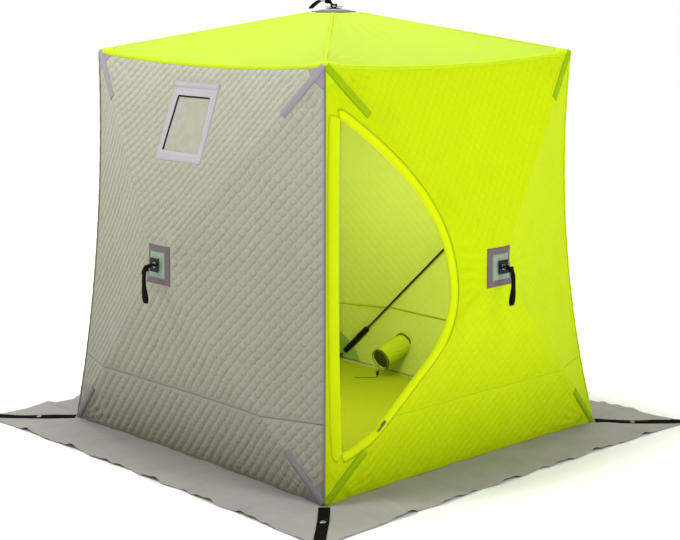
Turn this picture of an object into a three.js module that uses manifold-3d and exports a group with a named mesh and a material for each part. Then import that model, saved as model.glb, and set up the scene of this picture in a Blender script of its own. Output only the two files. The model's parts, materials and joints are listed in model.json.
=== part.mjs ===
// Pop-up hub shelter for ice fishing: four quilted walls and a roof, each pushed out by a hub with four rods.
// Millimetres, +Z up. The origin is the middle of the base on the ground, and the door faces -Y.
import * as THREE from "three";
import { mergeVertices } from "three/addons/utils/BufferGeometryUtils.js";
import Module from "manifold-3d";

const wasm = await Module();
wasm.setup();

// Shell
const BASE_HALF = 900;
const TOP_HALF = 785;
const WALL_HEIGHT = 1810;
const APEX_HEIGHT = 2006;
const WALL_HUB_HEIGHT = 903; // of the hub's foot in the plane through the corners
const WALL_HUB_OUT = 228; // how far a wall's peak stands out of the plane through its four corners
const FABRIC = 6;
const SEAM_GAP = 0.3;
const WALL_FOOT = 0.5;
const CORNER_BOWS = [60, 76, 60, 46]; // how far each upright seam curves in along its diagonal
const TOP_SEAM_IN = 22;
const TOP_SEAM_DROP = 34;
const FOOT_SEAM_IN = 18;
const SEAM_STEPS = 10;
const PATCH_SHARE = 0.055; // the hub patch's share of its panel
const PATCH_GAP = 0.004; // between the patch and the panel, as a share too

// Ground skirt and its corner straps
const SKIRT_HALF = 1205;
const SKIRT_THICK = 3;
const SKIRT_CORNER_OUT = 18;
const SKIRT_FOOT_GAP = 2.2; // the walls lean out over the skirt as they rise
const STRAP_WIDE = 50;
const STRAP_THICK = 3;
const STRAP_INNER = 906; // along X and Y, where the strap starts beside the corner
const STRAP_OUTER = 1232;
const EYELET_AT = 1032;
const EYELET_HOLE = 8;

// Hubs and rods
const HUB_RADIUS = 44;
const HUB_THICK = 22;
const HUB_DROP = 25; // from the panel's peak to the hub's outer face
const HUB_BOSS = 13;
const PIN_CIRCLE = 35;
const PIN_RADIUS = 2.5;
const SLOT_WIDE = 14;
const SLOT_DEEP = 20;
const EYE_RADIUS = 8;
const EYE_WIDE = 11;
const EYE_HOLE = 3;
const ROD_RADIUS = 5;
const FERRULE_RADIUS = 7;
const FERRULE_FROM = 20; // along the rod from its pin
const FERRULE_TO = 75;
const SLEEVE_RADIUS = 9;
const SLEEVE_FROM = 88; // along the rod from the panel's corner
const SLEEVE_TO = 300;
const ROD_END = 64;
const ROD_INSET = 22;
const PLATE_SIDE = 60;
const PLATE_THICK = 3;
const PLATE_LIFT = 0.5;
const PULL_WIDE = 25;
const PULL_LONG = 165;
const PULL_PIN_UP = 12;
const PULL_PIN_RADIUS = 2;
const PULL_EYE_HOLE = 2.8;
const ROOF_PULL_SLOPE = 8; // degrees below level, lying on the roof
const PULL_HALF = 3; // half of the doubled webbing's thickness
const PULL_WEB = 3;
const PULL_LOOP_HALF = 9;
const PULL_LOOP_TOP = 70; // above the strap's end
const PULL_SHOULDER = 25; // from the loop's top to its full width
const PULL_CROTCH = 10;
const PULL_EYE = 5.5;
const EAR_WIDE = 4;
const EAR_DEEP = 9;
const EAR_BESIDE = 3; // from the webbing's edge to the middle of an ear
const EAR_OVER = 4; // of an ear past the pin
const SUNK = 1; // pieces that join run this far into each other

// Corner caps: cones along the room's corner diagonals, which keep the rod ends in their corners
const CAP_FROM = 20;
const CAP_TO = 36;
const CAP_SMALL = 4;
const CAP_LARGE = 13;

const WALLS = [
  { name: "front", turn: 0, bows: [0, 1], colour: "lime" },
  { name: "right", turn: 1, bows: [1, 2], colour: "lime" },
  { name: "back", turn: 2, bows: [2, 3], colour: "grey" },
  { name: "left", turn: 3, bows: [3, 0], colour: "grey" },
];
const CORNER_SIGNS = [[-1, -1], [1, -1], [1, 1], [-1, 1]];
const CORNER_NAMES = ["front_left", "front_right", "back_right", "back_left"];

const COLOURS = {
  lime: 0xc4e000,
  roofLime: 0xd2ee3c,
  grey: 0xb4b6b0,
  skirt: 0x8f938a,
  black: 0x17171a,
  patch: 0x6e6266,
  clear: 0xd6dee0,
  metal: 0xb8bcc0,
};

const vec = (x, y, z) => new THREE.Vector3(x, y, z);

function material(colour, roughness = 0.8, metalness = 0) {
  return new THREE.MeshStandardMaterial({ color: colour, roughness, metalness });
}

function piece(name, geometry, surface) {
  const mesh = new THREE.Mesh(geometry, surface);
  mesh.name = name;
  return mesh;
}

function signedVolume(points, faces) {
  return faces.reduce((sum, [a, b, c]) => {
    const cross = vec().crossVectors(points[b], points[c]);
    return sum + points[a].dot(cross) / 6;
  }, 0);
}

// A closed indexed mesh, turned right side out.
function closedMesh(points, faces) {
  const outward = signedVolume(points, faces) > 0;
  const index = faces.flatMap(([a, b, c]) => (outward ? [a, b, c] : [a, c, b]));
  const geometry = new THREE.BufferGeometry();
  geometry.setAttribute("position", new THREE.Float32BufferAttribute(points.flatMap((p) => p.toArray()), 3));
  geometry.setIndex(index);
  return geometry;
}

// Faces between two closed rings of n points that start at the given indices.
function band(startA, startB, n) {
  const faces = [];
  for (let i = 0; i < n; i++) {
    const j = (i + 1) % n;
    faces.push([startA + i, startA + j, startB + j], [startA + i, startB + j, startB + i]);
  }
  return faces;
}

// A ring-shaped solid: each ring of points is joined to the next, and the last to the first.
function hoop(rings) {
  const n = rings[0].length;
  const faces = rings.flatMap((_, k) => band(k * n, ((k + 1) % rings.length) * n, n));
  return closedMesh(rings.flat(), faces);
}

// A solid through rings of points, closed at each end by a fan to a middle point.
function capped(firstMiddle, rings, lastMiddle) {
  const n = rings[0].length;
  const points = [...rings.flat(), firstMiddle, lastMiddle];
  const last = (rings.length - 1) * n;
  const faces = [];
  for (let k = 0; k + 1 < rings.length; k++) faces.push(...band(k * n, (k + 1) * n, n));
  for (let i = 0; i < n; i++) {
    const j = (i + 1) % n;
    faces.push([points.length - 2, j, i]);
    faces.push([points.length - 1, last + i, last + j]);
  }
  return closedMesh(points, faces);
}

function solid(geometry) {
  const plain = geometry.clone();
  plain.deleteAttribute("normal");
  plain.deleteAttribute("uv");
  const merged = mergeVertices(plain, 1e-3);
  const mesh = new wasm.Mesh({
    numProp: 3,
    vertProperties: merged.attributes.position.array,
    triVerts: new Uint32Array(merged.index.array),
  });
  return new wasm.Manifold(mesh);
}

function geometryOf(manifold) {
  const mesh = manifold.getMesh();
  const geometry = new THREE.BufferGeometry();
  geometry.setAttribute("position", new THREE.BufferAttribute(new Float32Array(mesh.vertProperties), 3));
  geometry.setIndex(new THREE.BufferAttribute(new Uint32Array(mesh.triVerts), 1));
  return geometry;
}

// Seams: a straight line that sags towards its middle.
function seam(from, to, sag, steps = SEAM_STEPS) {
  const points = [];
  for (let i = 0; i < steps; i++) {
    const s = i / steps;
    points.push(from.clone().lerp(to, s).addScaledVector(sag, 4 * s * (1 - s)));
  }
  return points;
}

// The border of the front wall, seen with the wall facing -Y; inset moves it into the room.
function wallRim(inset, leftBow, rightBow) {
  const b = BASE_HALF - inset;
  const t = TOP_HALF - inset;
  const h = WALL_HEIGHT - inset;
  const corners = [vec(-b, -b, WALL_FOOT), vec(b, -b, WALL_FOOT), vec(t, -t, h), vec(-t, -t, h)];
  const left = leftBow / Math.SQRT2;
  const right = rightBow / Math.SQRT2;
  return [
    ...seam(corners[0], corners[1], vec(0, FOOT_SEAM_IN, 0)),
    ...seam(corners[1], corners[2], vec(-right, right, 0)),
    ...seam(corners[2], corners[3], vec(0, TOP_SEAM_IN, -TOP_SEAM_DROP)),
    ...seam(corners[3], corners[0], vec(left, left, 0)),
  ];
}

function roofRim(inset) {
  const t = TOP_HALF - inset;
  const h = WALL_HEIGHT - inset;
  const turns = [0, 1, 2, 3];
  return turns.flatMap((turn) => {
    const angle = (turn * Math.PI) / 2;
    const side = seam(vec(-t, -t, h), vec(t, -t, h), vec(0, TOP_SEAM_IN, -TOP_SEAM_DROP));
    return side.map((p) => p.applyAxisAngle(vec(0, 0, 1), angle));
  });
}

// A panel is a pyramid of straight lines from its peak to its rim.
const ringAt = (rim, peak, share) => rim.map((p) => peak.clone().lerp(p, share));

function panelShell(panel, outer, inner, from, to) {
  const rings = [
    ringAt(panel.rim(outer), panel.peak(outer), to),
    ringAt(panel.rim(outer), panel.peak(outer), from),
    ringAt(panel.rim(inner), panel.peak(inner), from),
    ringAt(panel.rim(inner), panel.peak(inner), to),
  ];
  return hoop(rings);
}

function panelPatch(panel, outer, inner, to) {
  const rings = [ringAt(panel.rim(outer), panel.peak(outer), to), ringAt(panel.rim(inner), panel.peak(inner), to)];
  return capped(panel.peak(outer), rings, panel.peak(inner));
}

// The wall's own plane through its corners leans in as it rises.
const WALL_LEAN = Math.atan2(BASE_HALF - TOP_HALF, WALL_HEIGHT);
const wallPlaneHalf = (z) => BASE_HALF + ((TOP_HALF - BASE_HALF) * z) / WALL_HEIGHT;
const WALL_OUT = vec(0, -Math.cos(WALL_LEAN), Math.sin(WALL_LEAN));
const WALL_FOOT_POINT = vec(0, -wallPlaneHalf(WALL_HUB_HEIGHT), WALL_HUB_HEIGHT);

function wallPanel(leftBow, rightBow) {
  return {
    rim: (inset) => wallRim(inset, leftBow, rightBow),
    peak: (inset) => WALL_FOOT_POINT.clone().addScaledVector(WALL_OUT, WALL_HUB_OUT - inset),
  };
}

const roofPanelShape = {
  rim: roofRim,
  peak: (inset) => vec(0, 0, APEX_HEIGHT - inset),
};

// Door: one upright side beside the near corner, and a long rounded outer side.
const DOOR_SIDE_FOOT = [-800, 205];
const DOOR_SIDE_TOP = [-722, 1592];
const DOOR_NOSE_X = -246;
const DOOR_OPEN = 82; // degrees that the flap stands open into the room

const DOOR_FLANK_TOP = [-400, 540]; // the straight stretch beside the lower rod
const DOOR_FLANK_FOOT = [-640, 300];
const SLIDER_BESIDE = 11; // the zip runs this far outside the opening
const SLIDER_PARKED = 30;
const SLIDER_LIFT = 4.2;
const SLIDER_BODY = [26, 11, 5];
const SLIDER_TAB = [36, 8, 2];
const FLAP_GAP = 8; // between the flap's cloth and the opening when it is shut
const HINGE_IN = 3; // from the opening's upright side to the line the flap turns on
const FLAP_RIM = 0.995; // the flap stays inside the wall's own seams

// Each stretch is its control point and its end; a straight stretch has no control point.
const DOOR_STRETCHES = [
  [null, DOOR_SIDE_TOP],
  [[DOOR_NOSE_X, 1222], [DOOR_NOSE_X, 870]],
  [[DOOR_NOSE_X, 695], DOOR_FLANK_TOP],
  [null, DOOR_FLANK_FOOT],
  [[-682, 258], DOOR_SIDE_FOOT],
];

function doorOutline() {
  const outline = new THREE.Shape();
  outline.moveTo(...DOOR_SIDE_FOOT);
  for (const [control, end] of DOOR_STRETCHES) {
    if (control) outline.quadraticCurveTo(...control, ...end);
    else outline.lineTo(...end);
  }
  return outline.getPoints(8);
}

const SHARPEST_CORNER = 0.4; // keeps a sharp corner from moving further than the margin asks

// An outline moved in by a margin along the normals of its corners.
function shrunk(points, margin) {
  const ring = points.filter((p, i) => i === 0 || p.distanceTo(points[i - 1]) > 1);
  if (ring[0].distanceTo(ring[ring.length - 1]) < 1) ring.pop();
  const turn = THREE.ShapeUtils.isClockWise(ring) ? 1 : -1;
  return ring.map((p, i) => {
    const before = ring[(i + ring.length - 1) % ring.length];
    const after = ring[(i + 1) % ring.length];
    const a = p.clone().sub(before).normalize();
    const b = after.clone().sub(p).normalize();
    const normalA = new THREE.Vector2(a.y, -a.x).multiplyScalar(turn);
    const normalB = new THREE.Vector2(b.y, -b.x).multiplyScalar(turn);
    const along = normalA.clone().add(normalB).normalize();
    return p.clone().addScaledVector(along, margin / Math.max(along.dot(normalA), SHARPEST_CORNER));
  });
}

const CUT_FROM = 400; // a cut through a wall runs from here, inside it
const CUT_TO = 1300;

// A prism through the front wall along Y, from an outline in X and Z.
function throughWall(points) {
  const shape = new THREE.Shape(points);
  const geometry = new THREE.ExtrudeGeometry(shape, { depth: CUT_TO - CUT_FROM, bevelEnabled: false });
  geometry.rotateX(Math.PI / 2);
  geometry.translate(0, -CUT_FROM, 0);
  return solid(geometry);
}

// Window in the upper part of the left wall, in that wall's own front view.
const WINDOW_MIDDLE_X = -26;
const PANE = { foot: 1394, top: 1634, footHalf: 128, topHalf: 114 };
const FRAME = { foot: 1354, top: 1694, footHalf: 158, topHalf: 157 };
const PANE_OVERLAP = 7;
const PANE_GAP = 1;
const FILM_DEPTHS = [2, 4]; // in from the wall's outer surface
const SURROUND_DEPTHS = [-2.8, -0.4];
const WINDOW_RIM = 0.99; // the window's cloth stays inside the wall's own seams

// A four-sided outline in the wall's X and Z, made smaller all round by a margin.
function windowOutline({ foot, top, footHalf, topHalf }, margin = 0) {
  const x = WINDOW_MIDDLE_X;
  return [
    new THREE.Vector2(x - footHalf + margin, foot + margin),
    new THREE.Vector2(x + footHalf - margin, foot + margin),
    new THREE.Vector2(x + topHalf - margin, top - margin),
    new THREE.Vector2(x - topHalf + margin, top - margin),
  ];
}

// Vent sleeve through the foot of the right wall, in that wall's own front view.
const VENT_X = 420;
const VENT_RADIUS = 57;
const VENT_WALL = 2.5;
const VENT_FROM = vec(VENT_X, -950, 170);
const VENT_TO = vec(VENT_X, -735, 100);
const VENT_LINE = VENT_TO.clone().sub(VENT_FROM).normalize();
const VENT_CLEAR = 0.8; // between the sleeve and its hole in the wall
const VENT_HOLE_OUT = 120; // how far the hole's cut runs past the sleeve, outside and inside
const VENT_HOLE_IN = 50;
const TOGGLE_RADIUS = 7;
const TOGGLE_LONG = 20;
const CORD_RADIUS = 1.5;
// The drawcord's own route, from the toggle down to the ground and along it.
const CORD_ROUTE = [
  vec(VENT_X + 6, -722, 14),
  vec(VENT_X + 8, -720, 9),
  vec(VENT_X + 12, -714, 4),
  vec(VENT_X + 20, -704, 1.8),
  vec(VENT_X + 31, -694, 1.6),
  vec(VENT_X + 44, -684, 1.6),
  vec(VENT_X + 56, -671, 1.6),
  vec(VENT_X + 66, -656, 1.6),
  vec(VENT_X + 78, -643, 1.6),
  vec(VENT_X + 92, -634, 1.6),
];

function tube(from, to, radius, sides = 24) {
  const line = to.clone().sub(from);
  const geometry = new THREE.CylinderGeometry(radius, radius, line.length(), sides);
  geometry.translate(0, line.length() / 2, 0);
  geometry.applyQuaternion(new THREE.Quaternion().setFromUnitVectors(vec(0, 1, 0), line.clone().normalize()));
  geometry.translate(from.x, from.y, from.z);
  return geometry;
}

function ventSleeve() {
  const hollowFrom = VENT_FROM.clone().addScaledVector(VENT_LINE, -5);
  const hollowTo = VENT_TO.clone().addScaledVector(VENT_LINE, -3);
  const body = solid(tube(VENT_FROM, VENT_TO, VENT_RADIUS));
  const hollow = solid(tube(hollowFrom, hollowTo, VENT_RADIUS - VENT_WALL));
  return geometryOf(body.subtract(hollow));
}

function ventHole() {
  const from = VENT_FROM.clone().addScaledVector(VENT_LINE, -VENT_HOLE_OUT);
  const to = VENT_TO.clone().addScaledVector(VENT_LINE, VENT_HOLE_IN);
  return solid(tube(from, to, VENT_RADIUS + VENT_CLEAR));
}

function ventToggle() {
  const toggle = new THREE.CylinderGeometry(TOGGLE_RADIUS, TOGGLE_RADIUS, TOGGLE_LONG, 16);
  toggle.rotateX(Math.PI / 2);
  toggle.translate(CORD_ROUTE[0].x, CORD_ROUTE[0].y, CORD_ROUTE[0].z + TOGGLE_LONG / 2 + 1);
  return toggle;
}

function ventDrawcord() {
  const sides = 8;
  const section = new THREE.Shape();
  for (let i = 0; i < sides; i++) {
    const angle = (2 * Math.PI * i) / sides;
    const x = CORD_RADIUS * Math.cos(angle);
    const y = CORD_RADIUS * Math.sin(angle);
    if (i === 0) section.moveTo(x, y);
    else section.lineTo(x, y);
  }
  section.closePath();
  const path = new THREE.CatmullRomCurve3(CORD_ROUTE);
  return new THREE.ExtrudeGeometry(section, { steps: 18, extrudePath: path, bevelEnabled: false });
}

// Hubs. A hub is drawn with its outward side up the Z axis and the panel's peak at the origin.
function hubBody() {
  const disc = new THREE.CylinderGeometry(HUB_RADIUS, HUB_RADIUS, HUB_THICK, 24);
  disc.rotateX(Math.PI / 2);
  disc.translate(0, 0, -HUB_DROP - HUB_THICK / 2);
  const bossLong = HUB_DROP + PLATE_LIFT + PLATE_THICK;
  const boss = new THREE.CylinderGeometry(HUB_BOSS, HUB_BOSS, bossLong, 12);
  boss.rotateX(Math.PI / 2);
  boss.translate(0, 0, PLATE_LIFT + SUNK - bossLong / 2);
  const plate = new THREE.BoxGeometry(PLATE_SIDE, PLATE_SIDE, PLATE_THICK);
  plate.translate(0, 0, PLATE_LIFT + PLATE_THICK / 2);
  return [boss, plate, ...pullStaple()].reduce((body, more) => body.add(solid(more)), solid(disc));
}

// Two ears with a pin between them, which the pull strap turns on.
function pullStaple() {
  const earX = PULL_WIDE / 2 + EAR_BESIDE;
  const earTall = PULL_PIN_UP + EAR_OVER;
  const ears = [-earX, earX].map((x) => {
    const ear = new THREE.BoxGeometry(EAR_WIDE, EAR_DEEP, earTall);
    ear.translate(x, 0, PLATE_LIFT + SUNK + earTall / 2);
    return ear;
  });
  const pin = new THREE.CylinderGeometry(PULL_PIN_RADIUS, PULL_PIN_RADIUS, 2 * earX, 8);
  pin.rotateZ(Math.PI / 2);
  pin.translate(0, 0, PULL_PIN_UP);
  return [...ears, pin];
}

function slotted(body, angles) {
  const reach = HUB_RADIUS;
  const inner = HUB_RADIUS - SLOT_DEEP;
  let cut = body;
  for (const angle of angles) {
    const slot = new THREE.BoxGeometry(reach, SLOT_WIDE, 4 * HUB_THICK);
    slot.translate(inner + reach / 2, 0, -HUB_DROP - HUB_THICK);
    slot.rotateZ(angle);
    cut = cut.subtract(solid(slot));
  }
  for (const angle of angles) {
    const pin = new THREE.CylinderGeometry(PIN_RADIUS, PIN_RADIUS, SLOT_WIDE + 2, 8);
    pin.translate(PIN_CIRCLE, 0, -HUB_DROP - HUB_THICK / 2);
    pin.rotateZ(angle);
    cut = cut.add(solid(pin));
  }
  return geometryOf(cut);
}

// A rod lies along +X from its pin at the origin; the pin is along Y.
function rodShape(length, cornerSpan) {
  const eye = new THREE.CylinderGeometry(EYE_RADIUS, EYE_RADIUS, EYE_WIDE, 12);
  const neck = tube(vec(EYE_RADIUS - 3, 0, 0), vec(FERRULE_FROM + 2, 0, 0), EYE_WIDE / 2, 8);
  const ferrule = tube(vec(FERRULE_FROM, 0, 0), vec(FERRULE_TO, 0, 0), FERRULE_RADIUS, 8);
  const rod = tube(vec(FERRULE_TO - 2, 0, 0), vec(length, 0, 0), ROD_RADIUS, 8);
  const sleeve = tube(vec(cornerSpan - SLEEVE_TO, 0, 0), vec(cornerSpan - SLEEVE_FROM, 0, 0), SLEEVE_RADIUS, 8);
  const hole = new THREE.CylinderGeometry(EYE_HOLE, EYE_HOLE, 3 * EYE_WIDE, 8);
  const joined = solid(eye).add(solid(neck)).add(solid(ferrule)).add(solid(rod)).add(solid(sleeve));
  return geometryOf(joined.subtract(solid(hole)));
}

// The four corners of a panel as its hub sees them, in the plane through the corners.
const wallFoot = WALL_HUB_HEIGHT / Math.cos(WALL_LEAN);
const wallHead = (WALL_HEIGHT - WALL_HUB_HEIGHT) / Math.cos(WALL_LEAN);
const WALL_CORNERS = [
  ["upper_left", -TOP_HALF, wallHead],
  ["upper_right", TOP_HALF, wallHead],
  ["lower_left", -BASE_HALF, -wallFoot],
  ["lower_right", BASE_HALF, -wallFoot],
];
const ROOF_CORNERS = [
  ["front_left", -TOP_HALF, -TOP_HALF],
  ["front_right", TOP_HALF, -TOP_HALF],
  ["back_left", -TOP_HALF, TOP_HALF],
  ["back_right", TOP_HALF, TOP_HALF],
];

// The patch is sewn to the panel's peak and clamped between the hub and its plate.
function hubPatch(panel, tilt) {
  const patch = solid(panelPatch(panel, 0, FABRIC, PATCH_SHARE - PATCH_GAP));
  const hole = new THREE.CylinderGeometry(HUB_BOSS + 1.5, HUB_BOSS + 1.5, 60, 12);
  hole.rotateX(tilt);
  const peak = panel.peak(0);
  hole.translate(peak.x, peak.y, peak.z);
  return geometryOf(patch.subtract(solid(hole)));
}

// A webbing pull drawn in X and Y: it hangs down Y from its eye at the origin, with a loop at its end.
function pullStrap() {
  const half = PULL_HALF;
  const loopHalf = PULL_LOOP_HALF;
  const loopTop = PULL_LOOP_TOP - PULL_LONG;
  const loopFoot = loopHalf - PULL_LONG;
  const shoulder = loopTop - PULL_SHOULDER;
  const neck = -Math.sqrt(PULL_EYE ** 2 - half ** 2);
  const neckTurn = Math.atan2(-neck, half);
  const outline = new THREE.Shape();
  outline.moveTo(-half, loopTop);
  outline.lineTo(-loopHalf, shoulder);
  outline.lineTo(-loopHalf, loopFoot);
  outline.absarc(0, loopFoot, loopHalf, Math.PI, 2 * Math.PI, false);
  outline.lineTo(loopHalf, shoulder);
  outline.lineTo(half, loopTop);
  outline.lineTo(half, neck);
  outline.absarc(0, 0, PULL_EYE, -neckTurn, Math.PI + neckTurn, false);
  outline.closePath();
  const inner = loopHalf - PULL_WEB;
  const gap = new THREE.Path();
  gap.moveTo(-inner, shoulder);
  gap.lineTo(-inner, loopFoot);
  gap.absarc(0, loopFoot, inner, Math.PI, 2 * Math.PI, false);
  gap.lineTo(inner, shoulder);
  gap.lineTo(0, shoulder + PULL_CROTCH);
  gap.closePath();
  const eye = new THREE.Path();
  eye.absarc(0, 0, PULL_EYE_HOLE, 0, 2 * Math.PI, true);
  outline.holes.push(gap, eye);
  const geometry = new THREE.ExtrudeGeometry(outline, { depth: PULL_WIDE, bevelEnabled: false, curveSegments: 5 });
  geometry.translate(0, 0, -PULL_WIDE / 2);
  // The strap's own X, Y and Z become the panel's Y, Z and X.
  geometry.applyMatrix4(new THREE.Matrix4().makeBasis(vec(0, 1, 0), vec(0, 0, 1), vec(1, 0, 0)));
  return geometry;
}

// The hub and its four rods, in a group whose Z axis points out of the panel.
function hubAndRods(name, corners, peakHeight) {
  const group = new THREE.Group();
  const pinZ = -HUB_DROP - HUB_THICK / 2;
  const fall = peakHeight + ROD_INSET + pinZ;
  const angles = corners.map(([, x, y]) => Math.atan2(y, x));
  group.add(piece(name + "_hub", slotted(hubBody(), angles), material(COLOURS.black, 0.5)));
  corners.forEach(([place, x, y], k) => {
    const reach = Math.hypot(x, y) - PIN_CIRCLE;
    const span = Math.hypot(reach, fall);
    const rod = piece(name + "_rod_" + place, rodShape(span - ROD_END, span), material(COLOURS.black, 0.35));
    rod.rotation.y = Math.atan2(fall, reach);
    rod.position.set(PIN_CIRCLE, 0, pinZ);
    const turned = new THREE.Group();
    turned.rotation.z = angles[k];
    turned.add(rod);
    group.add(turned);
  });
  return group;
}

// Where a line along Y at x, z meets the front wall's surface.
function onWall(panel, inset, x, z) {
  const rim = panel.rim(inset);
  const peak = panel.peak(inset);
  const ray = new THREE.Ray(vec(x, -2000, z), vec(0, 1, 0));
  for (let i = 0; i < rim.length; i++) {
    const hit = ray.intersectTriangle(peak, rim[i], rim[(i + 1) % rim.length], false, vec());
    if (hit) return hit;
  }
  throw new Error("no wall at " + x + ", " + z);
}

// The door's flap is the piece cut from the wall, swung in about its upright side.
function doorFlap(panel, outline) {
  const cloth = solid(panelShell(panel, 0, FABRIC, PATCH_SHARE, FLAP_RIM));
  const flap = geometryOf(cloth.intersect(throughWall(shrunk(outline, FLAP_GAP))));
  const foot = onWall(panel, FABRIC, DOOR_SIDE_FOOT[0] + HINGE_IN, DOOR_SIDE_FOOT[1]);
  const top = onWall(panel, FABRIC, DOOR_SIDE_TOP[0] + HINGE_IN, DOOR_SIDE_TOP[1]);
  const middle = foot.clone().lerp(top, 0.5);
  const bowIn = onWall(panel, FABRIC, middle.x, middle.z).y - middle.y;
  foot.y += bowIn;
  top.y += bowIn;
  const axis = top.clone().sub(foot).normalize();
  flap.translate(-foot.x, -foot.y, -foot.z);
  const mesh = piece("door_flap", flap, material(COLOURS.lime));
  mesh.quaternion.setFromAxisAngle(axis, THREE.MathUtils.degToRad(DOOR_OPEN));
  mesh.position.copy(foot);
  return mesh;
}

// The slider parks at the foot of the straight lower stretch of the zip.
function zipSlider(panel) {
  const foot = new THREE.Vector2(...DOOR_FLANK_FOOT);
  const top = new THREE.Vector2(...DOOR_FLANK_TOP);
  const up = top.clone().sub(foot).normalize();
  const beside = new THREE.Vector2(up.y, -up.x).multiplyScalar(SLIDER_BESIDE);
  foot.addScaledVector(up, SLIDER_PARKED).add(beside);
  top.add(beside);
  const start = onWall(panel, -SLIDER_LIFT, foot.x, foot.y);
  const along = onWall(panel, -SLIDER_LIFT, top.x, top.y).sub(start).normalize();
  const outward = vec(along.z, 0, -along.x).cross(along).normalize();
  const body = new THREE.BoxGeometry(...SLIDER_BODY);
  const tab = new THREE.BoxGeometry(...SLIDER_TAB);
  tab.translate(-SLIDER_BODY[0], 0, (SLIDER_BODY[2] - 0.2) / 2);
  const slider = geometryOf(solid(body).add(solid(tab)));
  const mesh = piece("zip_slider", slider, material(COLOURS.metal, 0.4, 1));
  const turn = new THREE.Matrix4().makeBasis(along, outward.clone().cross(along), outward);
  mesh.quaternion.setFromRotationMatrix(turn);
  mesh.position.copy(start);
  return mesh;
}

function windowPieces(panel) {
  const film = solid(panelShell(panel, ...FILM_DEPTHS, PATCH_SHARE, WINDOW_RIM));
  const patch = solid(panelShell(panel, ...SURROUND_DEPTHS, PATCH_SHARE, WINDOW_RIM));
  const inside = throughWall(windowOutline(PANE, PANE_GAP));
  const around = throughWall(windowOutline(FRAME));
  const pane = throughWall(windowOutline(PANE, PANE_OVERLAP));
  return [
    piece("window_film", geometryOf(film.intersect(inside)), material(COLOURS.clear, 0.15)),
    piece("window_frame", geometryOf(patch.intersect(around).subtract(pane)), material(COLOURS.patch)),
  ];
}

const CUTS = {
  front: () => throughWall(doorOutline()),
  left: () => throughWall(windowOutline(PANE)),
  right: ventHole,
};

function extrasOf(name, panel) {
  if (name === "front") return [doorFlap(panel, doorOutline()), zipSlider(panel)];
  if (name === "left") return windowPieces(panel);
  if (name === "right")
    return [
      piece("vent_sleeve", ventSleeve(), material(COLOURS.lime)),
      piece("vent_toggle", ventToggle(), material(COLOURS.black)),
      piece("vent_drawcord", ventDrawcord(), material(COLOURS.black)),
    ];
  return [];
}

function wallGroup({ name, turn, bows, colour }) {
  const panel = wallPanel(...bows.map((k) => CORNER_BOWS[k]));
  const group = new THREE.Group();
  group.rotation.z = (turn * Math.PI) / 2;
  let shell = solid(panelShell(panel, 0, FABRIC, PATCH_SHARE, 1));
  if (CUTS[name]) shell = shell.subtract(CUTS[name]());
  const shifted = new THREE.Group();
  shifted.position.y = -SEAM_GAP;
  shifted.add(piece(name + "_wall", geometryOf(shell), material(COLOURS[colour])));
  shifted.add(piece(name + "_hub_patch", hubPatch(panel, -WALL_LEAN), material(COLOURS.patch)));
  const hub = hubAndRods(name, WALL_CORNERS, WALL_HUB_OUT);
  hub.position.copy(panel.peak(0));
  hub.quaternion.setFromRotationMatrix(
    new THREE.Matrix4().makeBasis(vec(1, 0, 0), WALL_OUT.clone().cross(vec(1, 0, 0)), WALL_OUT),
  );
  const strap = piece(name + "_pull_strap", pullStrap(), material(COLOURS.black));
  strap.position.copy(panel.peak(0)).addScaledVector(WALL_OUT, PULL_PIN_UP);
  shifted.add(hub, strap, ...extrasOf(name, panel));
  group.add(shifted);
  return group;
}

function roofGroup() {
  const group = new THREE.Group();
  group.position.z = SEAM_GAP;
  const shell = panelShell(roofPanelShape, 0, FABRIC, PATCH_SHARE, 1);
  group.add(piece("roof", shell, material(COLOURS.roofLime)));
  group.add(piece("roof_hub_patch", hubPatch(roofPanelShape, Math.PI / 2), material(COLOURS.patch)));
  const hub = hubAndRods("roof", ROOF_CORNERS, APEX_HEIGHT - WALL_HEIGHT);
  hub.position.z = APEX_HEIGHT;
  const strap = piece("roof_pull_strap", pullStrap(), material(COLOURS.black));
  strap.rotation.x = THREE.MathUtils.degToRad(90 - ROOF_PULL_SLOPE);
  strap.position.z = APEX_HEIGHT + PULL_PIN_UP;
  group.add(hub, strap);
  return group;
}

function skirt() {
  const outline = new THREE.Shape();
  const reach = SKIRT_HALF;
  const tip = reach + SKIRT_CORNER_OUT;
  for (let turn = 0; turn < 4; turn++) {
    const angle = (turn * Math.PI) / 2;
    const corner = new THREE.Vector2(-tip, -tip).rotateAround(new THREE.Vector2(), angle);
    const middle = new THREE.Vector2(0, -reach).rotateAround(new THREE.Vector2(), angle);
    if (turn === 0) outline.moveTo(corner.x, corner.y);
    else outline.lineTo(corner.x, corner.y);
    outline.lineTo(middle.x, middle.y);
  }
  outline.closePath();
  const foot = WALLS.flatMap(({ turn }) => {
    const b = BASE_HALF + SKIRT_FOOT_GAP;
    const side = seam(vec(-b, -b, 0), vec(b, -b, 0), vec(0, FOOT_SEAM_IN, 0));
    return side.map((p) => p.applyAxisAngle(vec(0, 0, 1), (turn * Math.PI) / 2));
  });
  outline.holes.push(new THREE.Path(foot.map((p) => new THREE.Vector2(p.x, p.y)).reverse()));
  for (const [x, y] of CORNER_SIGNS) {
    const hole = new THREE.Path();
    hole.absarc(x * EYELET_AT, y * EYELET_AT, EYELET_HOLE, 0, 2 * Math.PI, true);
    outline.holes.push(hole);
  }
  const geometry = new THREE.ExtrudeGeometry(outline, { depth: SKIRT_THICK, bevelEnabled: false, curveSegments: 6 });
  return piece("ground_skirt", geometry, material(COLOURS.skirt));
}

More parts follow.
